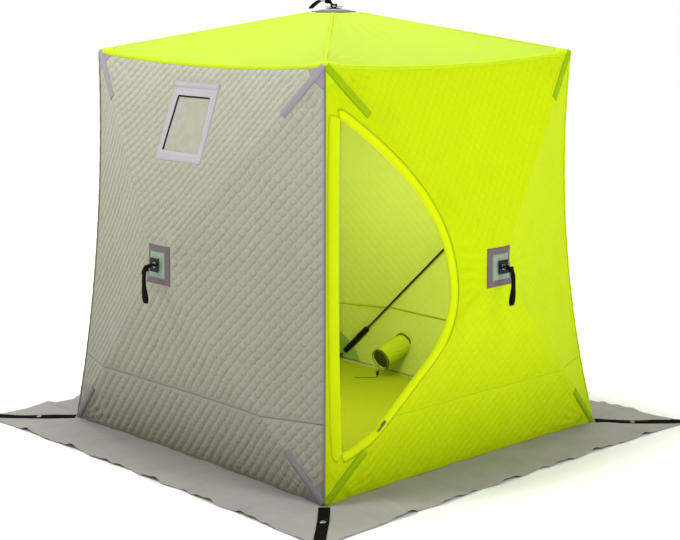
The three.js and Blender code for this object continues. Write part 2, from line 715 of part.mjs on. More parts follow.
// A webbing strap on the skirt's diagonal, with an eyelet for an ice anchor.
function anchorStrap(corner, [x, y]) {
  const long = (STRAP_OUTER - STRAP_INNER) * Math.SQRT2;
  const eyelet = (EYELET_AT - STRAP_INNER) * Math.SQRT2;
  const outline = new THREE.Shape();
  outline.moveTo(0, -STRAP_WIDE / 2);
  outline.lineTo(long, -STRAP_WIDE / 2);
  outline.lineTo(long, STRAP_WIDE / 2);
  outline.lineTo(0, STRAP_WIDE / 2);
  outline.closePath();
  const hole = new THREE.Path();
  hole.absarc(eyelet, 0, EYELET_HOLE, 0, 2 * Math.PI, true);
  outline.holes.push(hole);
  const geometry = new THREE.ExtrudeGeometry(outline, { depth: STRAP_THICK, bevelEnabled: false, curveSegments: 6 });
  const mesh = piece("anchor_strap_" + corner, geometry, material(COLOURS.black));
  mesh.rotation.z = Math.atan2(y, x);
  mesh.position.set(x * STRAP_INNER, y * STRAP_INNER, SKIRT_THICK + SEAM_GAP);
  return mesh;
}

function cornerCap(name, x, y, z, up) {
  const inward = vec(-Math.sign(x), -Math.sign(y), up).normalize();
  const cap = new THREE.CylinderGeometry(CAP_LARGE, CAP_SMALL, CAP_TO - CAP_FROM, 12);
  cap.translate(0, (CAP_FROM + CAP_TO) / 2, 0);
  const mesh = piece(name, cap, material(COLOURS.black, 0.6));
  mesh.quaternion.setFromUnitVectors(vec(0, 1, 0), inward);
  mesh.position.set(x, y, z);
  return mesh;
}

const part = new THREE.Group();
WALLS.forEach((wall) => part.add(wallGroup(wall)));
part.add(roofGroup(), skirt());
CORNER_SIGNS.forEach(([x, y], k) => {
  const corner = CORNER_NAMES[k];
  part.add(anchorStrap(corner, [x, y]));
  part.add(cornerCap("top_cap_" + corner, x * TOP_HALF, y * TOP_HALF, WALL_HEIGHT, -1));
  part.add(cornerCap("foot_cap_" + corner, x * BASE_HALF, y * BASE_HALF, 0, 1));
});
export default part;
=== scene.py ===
"""Pop-up hub shelter for ice fishing: quilted walls, a plain roof, five hubs with their rods, a door,
a window, a vent sleeve and a ground skirt. Metres, +Z up. The origin is the middle of the base and the
door faces -Y."""

import json
import math
from functools import partial

import bmesh
import bpy
import numpy as np
from mathutils import Matrix, Vector, noise


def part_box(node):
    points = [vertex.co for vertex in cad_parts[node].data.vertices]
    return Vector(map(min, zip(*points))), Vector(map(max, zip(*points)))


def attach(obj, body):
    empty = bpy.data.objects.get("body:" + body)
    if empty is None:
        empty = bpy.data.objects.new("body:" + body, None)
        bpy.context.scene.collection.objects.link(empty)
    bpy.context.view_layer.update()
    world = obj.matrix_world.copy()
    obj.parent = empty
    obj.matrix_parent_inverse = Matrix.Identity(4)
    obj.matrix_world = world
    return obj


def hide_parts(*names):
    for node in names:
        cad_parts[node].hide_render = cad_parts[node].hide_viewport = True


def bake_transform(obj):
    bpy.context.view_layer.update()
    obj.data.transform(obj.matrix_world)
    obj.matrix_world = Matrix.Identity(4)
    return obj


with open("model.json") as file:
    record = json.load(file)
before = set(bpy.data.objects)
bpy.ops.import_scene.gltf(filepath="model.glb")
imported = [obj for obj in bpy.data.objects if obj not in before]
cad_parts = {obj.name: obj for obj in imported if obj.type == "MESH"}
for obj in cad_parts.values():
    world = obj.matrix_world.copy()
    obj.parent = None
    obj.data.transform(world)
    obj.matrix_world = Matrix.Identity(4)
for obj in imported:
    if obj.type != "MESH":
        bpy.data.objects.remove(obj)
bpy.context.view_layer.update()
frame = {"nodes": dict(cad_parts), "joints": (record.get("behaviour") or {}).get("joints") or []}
JOINTS = {joint["name"]: joint for joint in frame["joints"]}

# The shell's own shape
BASE_HALF = 0.900
TOP_HALF = 0.785
WALL_HEIGHT = 1.810
APEX_HEIGHT = 2.006
HUB_HEIGHT = 0.903
HUB_OUT = 0.228
CORNER_BOWS = (0.060, 0.076, 0.060, 0.046)  # how far each upright seam bows inward, from the front left
TOP_SEAM_IN = 0.022
TOP_SEAM_DROP = 0.034
FOOT_SEAM_IN = 0.018
WALL_FOOT = 0.0005
LEAN = math.atan2(BASE_HALF - TOP_HALF, WALL_HEIGHT)
CLOTH = 0.006

# Quilting
DIAMONDS = 34  # across a wall
STEPS = 6  # cells of the mesh across a diamond
PUFF = 0.0062  # how high a diamond stands
LIME_PUFF = 0.0042
SMOOTH_RIM = 0.028  # the quilting fades out this near a seam
SCALLOP = 0.16  # how far a diamond bulges over the next row, as a share of it
LAP_HEIGHT = 0.335  # the seam between a wall's lower band and the rest
LAP_HALF = 0.009
LAP_WIDE = 0.009  # its binding

# Hub patches, as shares of their panel
PATCH = 0.095
INNER_PATCH = 0.062
WALL_FROM = 0.08  # the wall's own cloth starts here, under the patch
PATCH_HOLE = 0.016  # metres
HUB_HELD = 0.045  # the cloth this near a hub keeps its shape as the hub moves

# Door, in the front wall's own view
DOOR_SIDE_FOOT = (-0.800, 0.205)
DOOR_SIDE_TOP = (-0.722, 1.592)
DOOR_NOSE_X = -0.246
DOOR_FLANK_TOP = (-0.400, 0.540)
DOOR_FLANK_FOOT = (-0.640, 0.300)
# Control point and end of each stretch of the doorway, from the foot of its upright side
DOOR_STRETCHES = (
    (None, DOOR_SIDE_TOP),
    ((DOOR_NOSE_X, 1.222), (DOOR_NOSE_X, 0.870)),
    ((DOOR_NOSE_X, 0.695), DOOR_FLANK_TOP),
    (None, DOOR_FLANK_FOOT),
    ((-0.682, 0.258), DOOR_SIDE_FOOT),
)
DOOR_BAND = 0.032
SIDE_BOW = 0.016  # how far the rolled edge of the upright side stands into the doorway
DOOR_OPEN = math.radians(82)

# Window, in the left wall's own view
WINDOW_X = -0.026
# Foot, top, half width at the foot and at the top
PANE = (1.394, 1.634, 0.128, 0.114)
FRAME = (1.354, 1.694, 0.158, 0.157)

# Vent, in the right wall's own view
VENT_X = 0.420
VENT_RADIUS = 0.057
VENT_FROM = Vector((VENT_X, -0.950, 0.170))
VENT_TO = Vector((VENT_X, -0.735, 0.100))

# Skirt and straps
SKIRT_HALF = 1.205
SKIRT_CORNER_OUT = 0.018
STRAP_WIDE = 0.050
STRAP_INNER = 0.906
STRAP_OUTER = 1.232
EYELET_AT = 1.032

# The drawcord's route in the room, from the toggle down to the ground and along it
CORD_RADIUS = 0.0015
CORD_ROUTE = (
    (0.7223, 0.426, 0.014),
    (0.7203, 0.428, 0.009),
    (0.7143, 0.432, 0.004),
    (0.7043, 0.440, 0.0018),
    (0.6943, 0.451, 0.0016),
    (0.6843, 0.464, 0.0016),
    (0.6713, 0.476, 0.0016),
    (0.6563, 0.486, 0.0016),
    (0.6433, 0.498, 0.0016),
    (0.6343, 0.512, 0.0016),
)


CORNER_SIGNS = ((-1, -1), (1, -1), (1, 1), (-1, 1))

# Camera
CAMERA_AT = (-5.0498, -5.3878, 2.1803)
CAMERA_AIM = (0.029, math.radians(-43.37), 0.753)  # distance from the origin, azimuth and height
CAMERA_LENS = 82.29


def camera():
    data = bpy.data.cameras.new("camera")
    data.lens = CAMERA_LENS
    data.sensor_width = 36
    data.clip_end = 600
    obj = bpy.data.objects.new("camera", data)
    bpy.context.scene.collection.objects.link(obj)
    obj.location = CAMERA_AT
    reach, azimuth, height = CAMERA_AIM
    target = Vector((reach * math.cos(azimuth), reach * math.sin(azimuth), height))
    obj.rotation_euler = (target - obj.location).to_track_quat("-Z", "Y").to_euler()
    bpy.context.scene.camera = obj


camera()


# Node materials
class Shade:
    """A material's node tree, with a short way to add and join nodes."""

    def __init__(self, name):
        self.material = bpy.data.materials.new(name)
        self.material.use_nodes = True
        self.tree = self.material.node_tree
        self.tree.nodes.clear()
        self.output = self.tree.nodes.new("ShaderNodeOutputMaterial")

    def add(self, kind, inputs=None, **settings):
        node = self.tree.nodes.new("ShaderNode" + kind)
        for key, value in settings.items():
            setattr(node, key, value)
        for key, value in (inputs or {}).items():
            self.put(node.inputs[key], value)
        return node

    def put(self, socket, value):
        if isinstance(value, bpy.types.NodeSocket):
            self.tree.links.new(value, socket)
        else:
            socket.default_value = value

    def math(self, operation, a, b=0.0):
        return self.add("Math", {0: a, 1: b}, operation=operation).outputs[0]

    def times(self, a, b):
        return self.math("MULTIPLY", a, b)

    def plus(self, a, b):
        return self.math("ADD", a, b)

    def minus(self, a, b):
        return self.math("SUBTRACT", a, b)

    def most(self, a, b):
        return self.math("MAXIMUM", a, b)

    def size(self, value):
        return self.math("ABSOLUTE", value)

    def place(self):
        return self.add("TexCoord").outputs["Object"]

    def uv(self):
        node = self.add("UVMap", uv_map="cloth")
        parts = self.add("SeparateXYZ", {0: node.outputs[0]})
        return parts.outputs[0], parts.outputs[1]

    def noise(self, scale, detail=3.0, where=None):
        inputs = {"Vector": where or self.place(), "Scale": scale, "Detail": detail}
        return self.add("TexNoise", inputs).outputs["Fac"]

    def ramp(self, value, low, high, to_low=0.0, to_high=1.0):
        inputs = {0: value, 1: low, 2: high, 3: to_low, 4: to_high}
        return self.add("MapRange", inputs, clamp=True).outputs[0]

    def mixed(self, share, first, second):
        return self.add("Mix", {0: share, 6: first, 7: second}, data_type="RGBA").outputs[2]

    def shaded_low(self, colour, share):
        """Painted shade: the colour, falling to a share of itself at the foot of the walls, as the lower
        walls get less light.
        """
        height = self.ramp(self.add("SeparateXYZ", {0: self.place()}).outputs[2], 0.0, WALL_HEIGHT)
        rise = self.times(self.times(height, height), 1 - share)
        factor = self.plus(rise, share)
        node = self.add("Mix", {0: 1.0, 6: colour, 7: factor}, data_type="RGBA", blend_type="MULTIPLY")
        return node.outputs[2]

    def bump(self, height, distance, strength=1.0, below=None):
        inputs = {"Height": height, "Distance": distance, "Strength": strength}
        if below is not None:
            inputs["Normal"] = below
        return self.add("Bump", inputs).outputs[0]

    def face(self, inputs):
        return self.add("BsdfPrincipled", inputs)

    def weave(self, pitch):
        """The height of a plain weave, from two crossed waves."""
        waves = []
        for axis in "XYZ":
            inputs = {"Vector": self.place(), "Scale": 1 / (math.pi * pitch)}
            waves.append(self.add("TexWave", inputs, bands_direction=axis).outputs["Fac"])
        crossed = self.times(waves[0], waves[1])
        return self.plus(crossed, self.times(waves[2], 0.5))

    def done(self, shader):
        self.tree.links.new(shader, self.output.inputs["Surface"])
        return self.material


WEAVE = 0.0011  # the pitch of the cloth's threads
CLOTH_SHINE = 0.08


def tone(red, green, blue):
    """A colour given as it looks on a screen, 0 to 255, as the renderer's own numbers."""
    values = []
    for value in (red, green, blue):
        part = value / 255
        values.append(part / 12.92 if part <= 0.04045 else ((part + 0.055) / 1.055) ** 2.4)
    return (*values, 1.0)


def darker(colour, share):
    """A colour times a share; over 1 makes it paler."""
    return (*[part * share for part in colour[:3]], 1.0)


def cloth_shader(shade, colour, normal, glow, roughness, sheen, glow_share):
    """A cloth that scatters light on its face and lets some through."""
    inputs = {"Base Color": colour, "Normal": normal, "Roughness": roughness, "Sheen Weight": sheen}
    inputs |= {"Sheen Roughness": 0.45, "Specular IOR Level": CLOTH_SHINE}
    face = shade.face(inputs)
    if not glow_share:
        return face.outputs[0]
    through = shade.add("BsdfTranslucent", {"Color": glow, "Normal": normal})
    mix = shade.add("MixShader", {0: glow_share, 1: face.outputs[0], 2: through.outputs[0]})
    return mix.outputs[0]


def mottled(shade, colour, depth, scale):
    """A colour with soft lighter and darker areas and a finer grain."""
    broad = shade.noise(scale)
    fine = shade.noise(scale * 40, 2.0)
    share = shade.plus(shade.times(broad, 0.7), shade.times(fine, 0.3))
    return shade.mixed(shade.ramp(share, 0.32, 0.68), darker(colour, 1 - depth), colour)


def quilt_material(name, colour, depth, glow, glow_share, sheen, scales, foot=1.0):
    """Quilted cloth with soft seams and a fine weave, with painted shade along the seams' valleys. Where
    scales is set, each diamond has a painted highlight along its upper left side and painted shade along its
    lower right, as light from the upper left would fall on the puffed wadding. Where foot is under 1, the
    colour also has painted shade towards the foot."""
    shade = Shade(name)
    u, v = shade.uv()
    mask = shade.add("Attribute", attribute_name="quilt").outputs["Fac"]
    offsets = []
    along = shade.plus(u, v)
    bulge = shade.size(shade.math("SINE", shade.times(along, math.pi)))
    rising = shade.minus(shade.minus(u, v), shade.times(bulge, SCALLOP))
    for phase in (rising, along):
        offsets.append(shade.size(shade.minus(phase, shade.math("ROUND", phase))))
    rising = shade.math("FRACT", rising)
    # Painted shade along the seams' valleys; where scales is set, also along each diamond's lower right side
    cross = shade.ramp(offsets[1], 0.0, 0.13, 1.0, 0.0)
    if scales:
        side = shade.ramp(rising, 0.5, 0.96, 0.0, 1.0)
        side = shade.times(side, shade.ramp(rising, 0.97, 1.0, 1.0, 0.0))
        cross = shade.times(cross, shade.ramp(rising, 0.1, 0.6, 0.4, 0.9))
        dark = shade.most(shade.times(side, side), cross)
    else:
        dark = shade.most(shade.ramp(offsets[0], 0.0, 0.13, 1.0, 0.0), cross)
    patchy = shade.ramp(shade.noise(24.0, 3.0), 0.3, 0.7, 0.35, 1.0)
    valley = shade.times(shade.times(dark, mask), patchy)
    ground = mottled(shade, colour, 0.07, 6.0)
    if scales:
        # Painted highlight along each diamond's upper left side
        lit = shade.times(shade.ramp(rising, 0.03, 0.34, 1.0, 0.0), mask)
        ground = shade.mixed(shade.times(lit, 0.8), ground, darker(colour, 1.13))
    # Painted shade in the seams' valleys
    seams_shaded = shade.mixed(shade.times(valley, depth), ground, darker(colour, 0.42))
    seam = shade.ramp(offsets[0], 0.02, 0.05, 1.0, 0.0)
    thread = shade.times(shade.times(seam, mask), patchy)
    coloured = shade.mixed(shade.times(thread, depth), seams_shaded, darker(colour, 0.5))
    # Painted shade, darker towards the foot of the walls
    if foot < 1:
        coloured = shade.shaded_low(coloured, foot)
    crinkle = shade.bump(shade.noise(80.0, 3.0), 0.004, 0.8)
    woven = shade.bump(shade.weave(WEAVE), 0.0002, 0.5, crinkle)
    sewn = shade.bump(valley, 0.003, -1.0, woven)
    rough = shade.ramp(shade.noise(30.0), 0.3, 0.7, 0.56, 0.7)
    return shade.done(cloth_shader(shade, coloured, sewn, glow, rough, sheen, glow_share))


def cloth_material(name, colour, glow=None, glow_share=0.0, depth=0.06, roughness=0.62, sheen=0.05):
    """Plain woven cloth with faint creases."""
    shade = Shade(name)
    coloured = mottled(shade, colour, depth, 5.0)
    creases = shade.bump(shade.noise(22.0, 4.0), 0.004, 0.35)
    woven = shade.bump(shade.weave(WEAVE), 0.00025, 0.6, creases)
    rough = shade.ramp(shade.noise(30.0), 0.3, 0.7, roughness - 0.06, roughness + 0.06)
    return shade.done(cloth_shader(shade, coloured, woven, glow, rough, sheen, glow_share))


def stitched_material(name, colour, edges, glow=None, glow_share=0.0, foot=1.0):
    """Cloth strips sewn down along lines at the given distances across them, in metres, with painted shade in
    the grooves beside the lines. Where foot is under 1, the colour also has painted shade towards the foot.
    """
    shade = Shade(name)
    along, across = shade.uv()
    dash = shade.math("LESS_THAN", shade.math("FRACT", shade.times(along, 1 / 0.004)), 0.65)
    groove = None
    thread = None
    for edge in edges:
        offset = shade.size(shade.minus(across, edge))
        near = shade.ramp(offset, 0.0006, 0.0032, 1.0, 0.0)
        line = shade.times(shade.math("LESS_THAN", offset, 0.0006), dash)
        groove = near if groove is None else shade.most(groove, near)
        thread = line if thread is None else shade.most(thread, line)
    ground = mottled(shade, colour, 0.06, 9.0)
    # Painted shade in the grooves beside the stitch lines
    grooves_shaded = shade.mixed(shade.times(groove, 0.35), ground, darker(colour, 0.4))
    coloured = shade.mixed(shade.times(thread, 0.6), grooves_shaded, darker(colour, 1.25))
    # Painted shade, darker towards the foot of the walls
    if foot < 1:
        coloured = shade.shaded_low(coloured, foot)
    puckers = shade.bump(shade.noise(70.0, 2.0), 0.002, 0.3)
    woven = shade.bump(shade.weave(WEAVE), 0.00025, 0.6, puckers)
    sewn = shade.bump(groove, 0.001, -0.8, woven)
    return shade.done(cloth_shader(shade, coloured, sewn, glow, 0.6, 0.02, glow_share))


def webbing_material(name, colour, pitch=0.0018):
    """Woven webbing: ribs across the strap and a softer rib along it, with worn, lighter high spots."""
    shade = Shade(name)
    along, across = shade.uv()
    ribs = shade.math("SINE", shade.times(along, 2 * math.pi / pitch))
    rows = shade.math("SINE", shade.times(across, 2 * math.pi / (1.6 * pitch)))
    twill = shade.times(ribs, rows)
    height = shade.plus(shade.times(twill, 0.5), 0.5)
    worn = shade.times(height, shade.noise(35.0))
    coloured = shade.mixed(shade.ramp(worn, 0.2, 0.75), colour, darker(colour, 1.7))
    normal = shade.bump(height, 0.0005, 0.8)
    rough = shade.ramp(worn, 0.0, 0.6, 0.9, 0.7)
    inputs = {"Base Color": coloured, "Normal": normal, "Roughness": rough, "IOR": 1.15}
    return shade.done(shade.face(inputs).outputs[0])


def moulded_material(name, colour, roughness=0.42):
    """Moulded nylon: a fine grain, rubbed smoother and paler in places."""
    shade = Shade(name)
    rubbed = shade.ramp(shade.noise(45.0, 4.0), 0.5, 0.75)
    coloured = shade.mixed(rubbed, colour, darker(colour, 1.9))
    grain = shade.bump(shade.noise(900.0, 2.0), 0.0003, 0.4)
    rough = shade.ramp(rubbed, 0.0, 1.0, roughness, roughness - 0.12)
    inputs = {"Base Color": coloured, "Normal": grain, "Roughness": rough, "Specular IOR Level": 0.2}
    return shade.done(shade.face(inputs).outputs[0])


def metal_material(name, colour, roughness=0.3):
    """Plated steel with fine scratches and dulled patches."""
    shade = Shade(name)
    dull = shade.ramp(shade.noise(120.0, 5.0), 0.4, 0.7)
    coloured = shade.mixed(dull, colour, darker(colour, 0.7))
    scratches = shade.bump(shade.noise(1500.0, 2.0), 0.0001, 0.4)
    rough = shade.ramp(dull, 0.0, 1.0, roughness, roughness + 0.2)
    inputs = {"Base Color": coloured, "Normal": scratches, "Roughness": rough, "Metallic": 1.0}
    return shade.done(shade.face(inputs).outputs[0])


def film_material(name):
    """Clear vinyl: mostly hazy, with a glossy creased face that catches the lights."""
    shade = Shade(name)
    ripple = shade.bump(shade.noise(14.0, 3.0), 0.012, 0.8)
    crease = shade.bump(shade.noise(55.0, 2.0), 0.003, 0.5, ripple)
    haze = shade.ramp(shade.noise(9.0, 4.0), 0.35, 0.7, 0.6, 0.85)
    inputs = {"Base Color": tone(178, 177, 166), "Normal": crease, "Alpha": haze, "Roughness": 0.06}
    inputs |= {"Coat Weight": 1.0, "Coat Roughness": 0.03, "Specular IOR Level": 0.8}
    return shade.done(shade.face(inputs).outputs[0])


def net_material(name, colour):
    """Dark insect net: threads in the net's own colour, with the holes between them painted darker as the
    shade seen through the open weave.
    """
    shade = Shade(name)
    cells = shade.add("TexVoronoi", {"Vector": shade.place(), "Scale": 420.0}, feature="DISTANCE_TO_EDGE")
    thread = shade.ramp(cells.outputs["Distance"], 0.05, 0.16, 1.0, 0.0)
    # Painted shade in the holes between the threads
    coloured = shade.mixed(thread, darker(colour, 0.4), colour)
    normal = shade.bump(thread, 0.0006, 0.8)
    return shade.done(shade.face({"Base Color": coloured, "Normal": normal, "Roughness": 0.7}).outputs[0])


def floor_material():
    """White studio floor that glows away from the shelter, and is painted green inside the shelter's
    footprint to stand in for the light that falls through the cloth.
    """
    shade = Shade("studio_floor")
    pale = shade.mixed(shade.noise(1.5), tone(236, 236, 234), tone(243, 243, 242))
    parts = shade.add("SeparateXYZ", {0: shade.place()})
    away = shade.most(shade.size(parts.outputs[0]), shade.size(parts.outputs[1]))
    lit = shade.ramp(away, 1.25, 1.9, 0.0, 0.66)
    # Painted light: green inside the shelter's footprint, standing in for the light that falls through the
    # yellow-green cloth
    coloured = shade.mixed(shade.ramp(away, 0.86, 0.9, 1.0, 0.0), pale, tone(160, 176, 0))
    inputs = {"Base Color": coloured, "Emission Color": tone(255, 255, 255), "Emission Strength": lit}
    return shade.done(shade.face(inputs | {"Roughness": 0.8}).outputs[0])


LIME = tone(208, 227, 0)
LIME_GLOW = tone(214, 240, 20)
# The roof cloth's own yellow-green, mixed towards white as a painted sheen from the light above
ROOF_LIME_AND_SHEEN = tone(190, 214, 60)
GREY = tone(186, 186, 168)
GREY_GLOW = tone(205, 205, 190)
TRIM = tone(160, 153, 160)
MAUVE = tone(112, 98, 104)
SAGE = tone(140, 160, 138)
OLIVE = tone(152, 188, 0)
CORNER_GREEN = tone(138, 170, 96)
WINDOW_TRIM = tone(186, 183, 188)
SKIRT = tone(168, 166, 160)
BLACK = tone(11, 10, 9)

M = {
    "lime_quilt": quilt_material("lime_quilt", LIME, 0.15, LIME_GLOW, 0.26, 0.02, False),
    # foot sets the painted shade towards the foot of the walls
    "grey_quilt": quilt_material("grey_quilt", GREY, 0.5, GREY_GLOW, 0.12, 0.06, True, foot=0.66),
    "roof_cloth": cloth_material("roof_cloth", ROOF_LIME_AND_SHEEN, LIME_GLOW, 0.3, depth=0.03, sheen=0.1),
    "lime_band": stitched_material("lime_band", tone(226, 244, 2), (0.004, 0.028), LIME_GLOW, 0.2),
    "lime_trim": stitched_material("lime_trim", tone(198, 230, 0), (0.003, 0.032), LIME_GLOW, 0.2),
    "olive_trim": stitched_material("olive_trim", OLIVE, (0.003, 0.032), LIME_GLOW, 0.15),
    "corner_green": stitched_material("corner_green", CORNER_GREEN, (0.004,)),
    "window_trim": stitched_material("window_trim", WINDOW_TRIM, (0.003, 0.009, 0.022), GREY_GLOW, 0.1),
    "inner_seam": stitched_material("inner_seam", tone(158, 184, 30), (0.002,)),
    # A dark cloth that stands in for the shadow along the window pane's left and top edges
    "window_edge": cloth_material("window_edge", tone(30, 32, 22), roughness=0.8),
    # foot sets the painted shade towards the foot of the walls
    "grey_trim": stitched_material("grey_trim", TRIM, (0.003, 0.032), GREY_GLOW, 0.08, foot=0.7),
    "mauve_patch": stitched_material("mauve_patch", MAUVE, (0.004,)),
    "sage_patch": stitched_material("sage_patch", SAGE, (0.003,)),
    "skirt_cloth": cloth_material("skirt_cloth", SKIRT, GREY_GLOW, 0.1, depth=0.16),
    "webbing": webbing_material("webbing", BLACK),
    "cord": webbing_material("cord", tone(60, 66, 22), 0.0012),
    "plastic": moulded_material("plastic", BLACK),
    "sleeve": cloth_material("rod_sleeve", tone(20, 20, 20), roughness=0.8),
    "glass_fibre": moulded_material("glass_fibre", tone(30, 30, 32), 0.3),
    "zinc": metal_material("zinc", tone(196, 198, 202)),
    "slider": metal_material("slider", tone(112, 114, 104), 0.4),
    "seam_binding": stitched_material("seam_binding", tone(120, 124, 96), (0.002,)),
    "roof_hem": stitched_material("roof_hem", tone(208, 238, 30), (0.003, 0.010), LIME_GLOW, 0.2),
    "lime_plain": cloth_material("lime_plain", tone(218, 238, 0), LIME_GLOW, 0.26, sheen=0.02),
    "zip_coil": webbing_material("zip_coil", tone(158, 186, 4), 0.0014),
    "lime_lining": cloth_material("lime_lining", tone(212, 226, 128), LIME_GLOW, 0.3),
    "grey_lining": cloth_material("grey_lining", tone(214, 218, 170), GREY_GLOW, 0.2),
    "vent_cloth": cloth_material("vent_cloth", tone(222, 236, 62), LIME_GLOW, 0.4),
    "vent_hem": stitched_material("vent_hem", tone(92, 116, 44), (0.002, 0.012)),
    "film": film_material("film"),
    "net": net_material("net", tone(70, 78, 30)),
}


# Meshes
def make(name, verts, faces, surface, uv=None, values=None):
    mesh = bpy.data.meshes.new(name)
    mesh.from_pydata([tuple(v) for v in verts], [], [tuple(f) for f in faces])
    mesh.materials.append(surface)
    if uv is not None:
        corner = np.empty(len(mesh.loops), dtype=np.int32)
        mesh.loops.foreach_get("vertex_index", corner)
        layer = mesh.uv_layers.new(name="cloth")
        layer.data.foreach_set("uv", np.asarray(uv, dtype=np.float32)[corner].ravel())
    if values is not None:
        attribute = mesh.attributes.new("quilt", "FLOAT", "POINT")
        attribute.data.foreach_set("value", np.asarray(values, dtype=np.float32))
    mesh.polygons.foreach_set("use_smooth", [True] * len(mesh.polygons))
    mesh.validate()
    obj = bpy.data.objects.new(name, mesh)
    bpy.context.scene.collection.objects.link(obj)
    return obj


def bezier(start, control, end, steps):
    """A curve through one control point, or a straight line where there is none, without its start."""
    share = np.linspace(0, 1, steps + 1)[1:, None]
    start, end = np.array(start), np.array(end)
    if control is None:
        return start + share * (end - start)
    control = np.array(control)
    return (1 - share) ** 2 * start + 2 * share * (1 - share) * control + share**2 * end


def unit(vectors):
    return vectors / np.linalg.norm(vectors, axis=-1, keepdims=True)


def distances(points):
    """Each point's distance along a path."""
    return np.concatenate([[0], np.cumsum(np.linalg.norm(np.diff(points, axis=0), axis=1))])


def circle(count):
    """Angles at an even spacing all the way round."""
    return np.linspace(0, 2 * math.pi, count, endpoint=False)


def cloth_map(along, across):
    """The cloth map of a strip of sections, from distances along it and across it."""
    return np.stack(np.broadcast_arrays(along[:, None], across), axis=-1).reshape(-1, 2)


def resampled(outline, step):
    """A closed outline's points at an even spacing."""
    closed = np.vstack([outline, outline[:1]])
    along = distances(closed)
    count = max(8, int(along[-1] / step))
    wanted = np.linspace(0, along[-1], count, endpoint=False)
    columns = [np.interp(wanted, along, closed[:, k]) for k in range(closed.shape[1])]
    return np.stack(columns, axis=1)


def rounded(outline, rounds):
    """Cuts an outline's corners again and again until they are round."""
    for _ in range(rounds):
        following = np.roll(outline, -1, axis=0)
        pairs = np.stack([0.75 * outline + 0.25 * following, 0.25 * outline + 0.75 * following], axis=1)
        outline = pairs.reshape(-1, outline.shape[1])
    return outline


def door_outline(step=0.02):
    points = [np.array([DOOR_SIDE_FOOT])]
    start = DOOR_SIDE_FOOT
    for control, end in DOOR_STRETCHES:
        points.append(bezier(start, control, end, 24))
        start = end
    return rounded(resampled(np.vstack(points)[:-1], step), 2)


def four_sided(box, margin=0.0):
    foot, top, foot_half, top_half = box
    low, high = foot_half - margin, top_half - margin
    sides = ((-low, foot + margin), (low, foot + margin), (high, top - margin), (-high, top - margin))
    return np.array([(WINDOW_X + x, z) for x, z in sides])


def pane_outline():
    return rounded(resampled(four_sided(PANE), 0.012), 2)


def inside_of(outline, x, z):
    """How far inside an outline each point is, negative outside it, and the outline's nearest point."""
    best = np.full(x.shape, np.inf)
    near_x, near_z = np.zeros_like(x), np.zeros_like(z)
    crossings = np.zeros(x.shape, dtype=int)
    for (x1, z1), (x2, z2) in zip(outline, np.roll(outline, -1, axis=0)):
        dx, dz = x2 - x1, z2 - z1
        share = np.clip(((x - x1) * dx + (z - z1) * dz) / max(dx * dx + dz * dz, 1e-12), 0, 1)
        px, pz = x1 + share * dx, z1 + share * dz
        far = np.hypot(x - px, z - pz)
        closer = far < best
        best = np.where(closer, far, best)
        near_x, near_z = np.where(closer, px, near_x), np.where(closer, pz, near_z)
        if z1 != z2:
            crossings += ((z1 > z) != (z2 > z)) & (x < x1 + (z - z1) * dx / dz)
    return np.where(crossings % 2 == 1, best, -best), near_x, near_z


def smoothstep(value, low, high):
    share = np.clip((value - low) / (high - low), 0, 1)
    return share * share * (3 - 2 * share)


def wobble(points, scale, seed):
    """Smooth noise from -1 to 1 at each point, the same every time."""
    shift = Vector((seed * 3.1, seed * 1.7, seed * 2.3))
    return np.array([noise.noise(Vector(p) * scale + shift) for p in points])


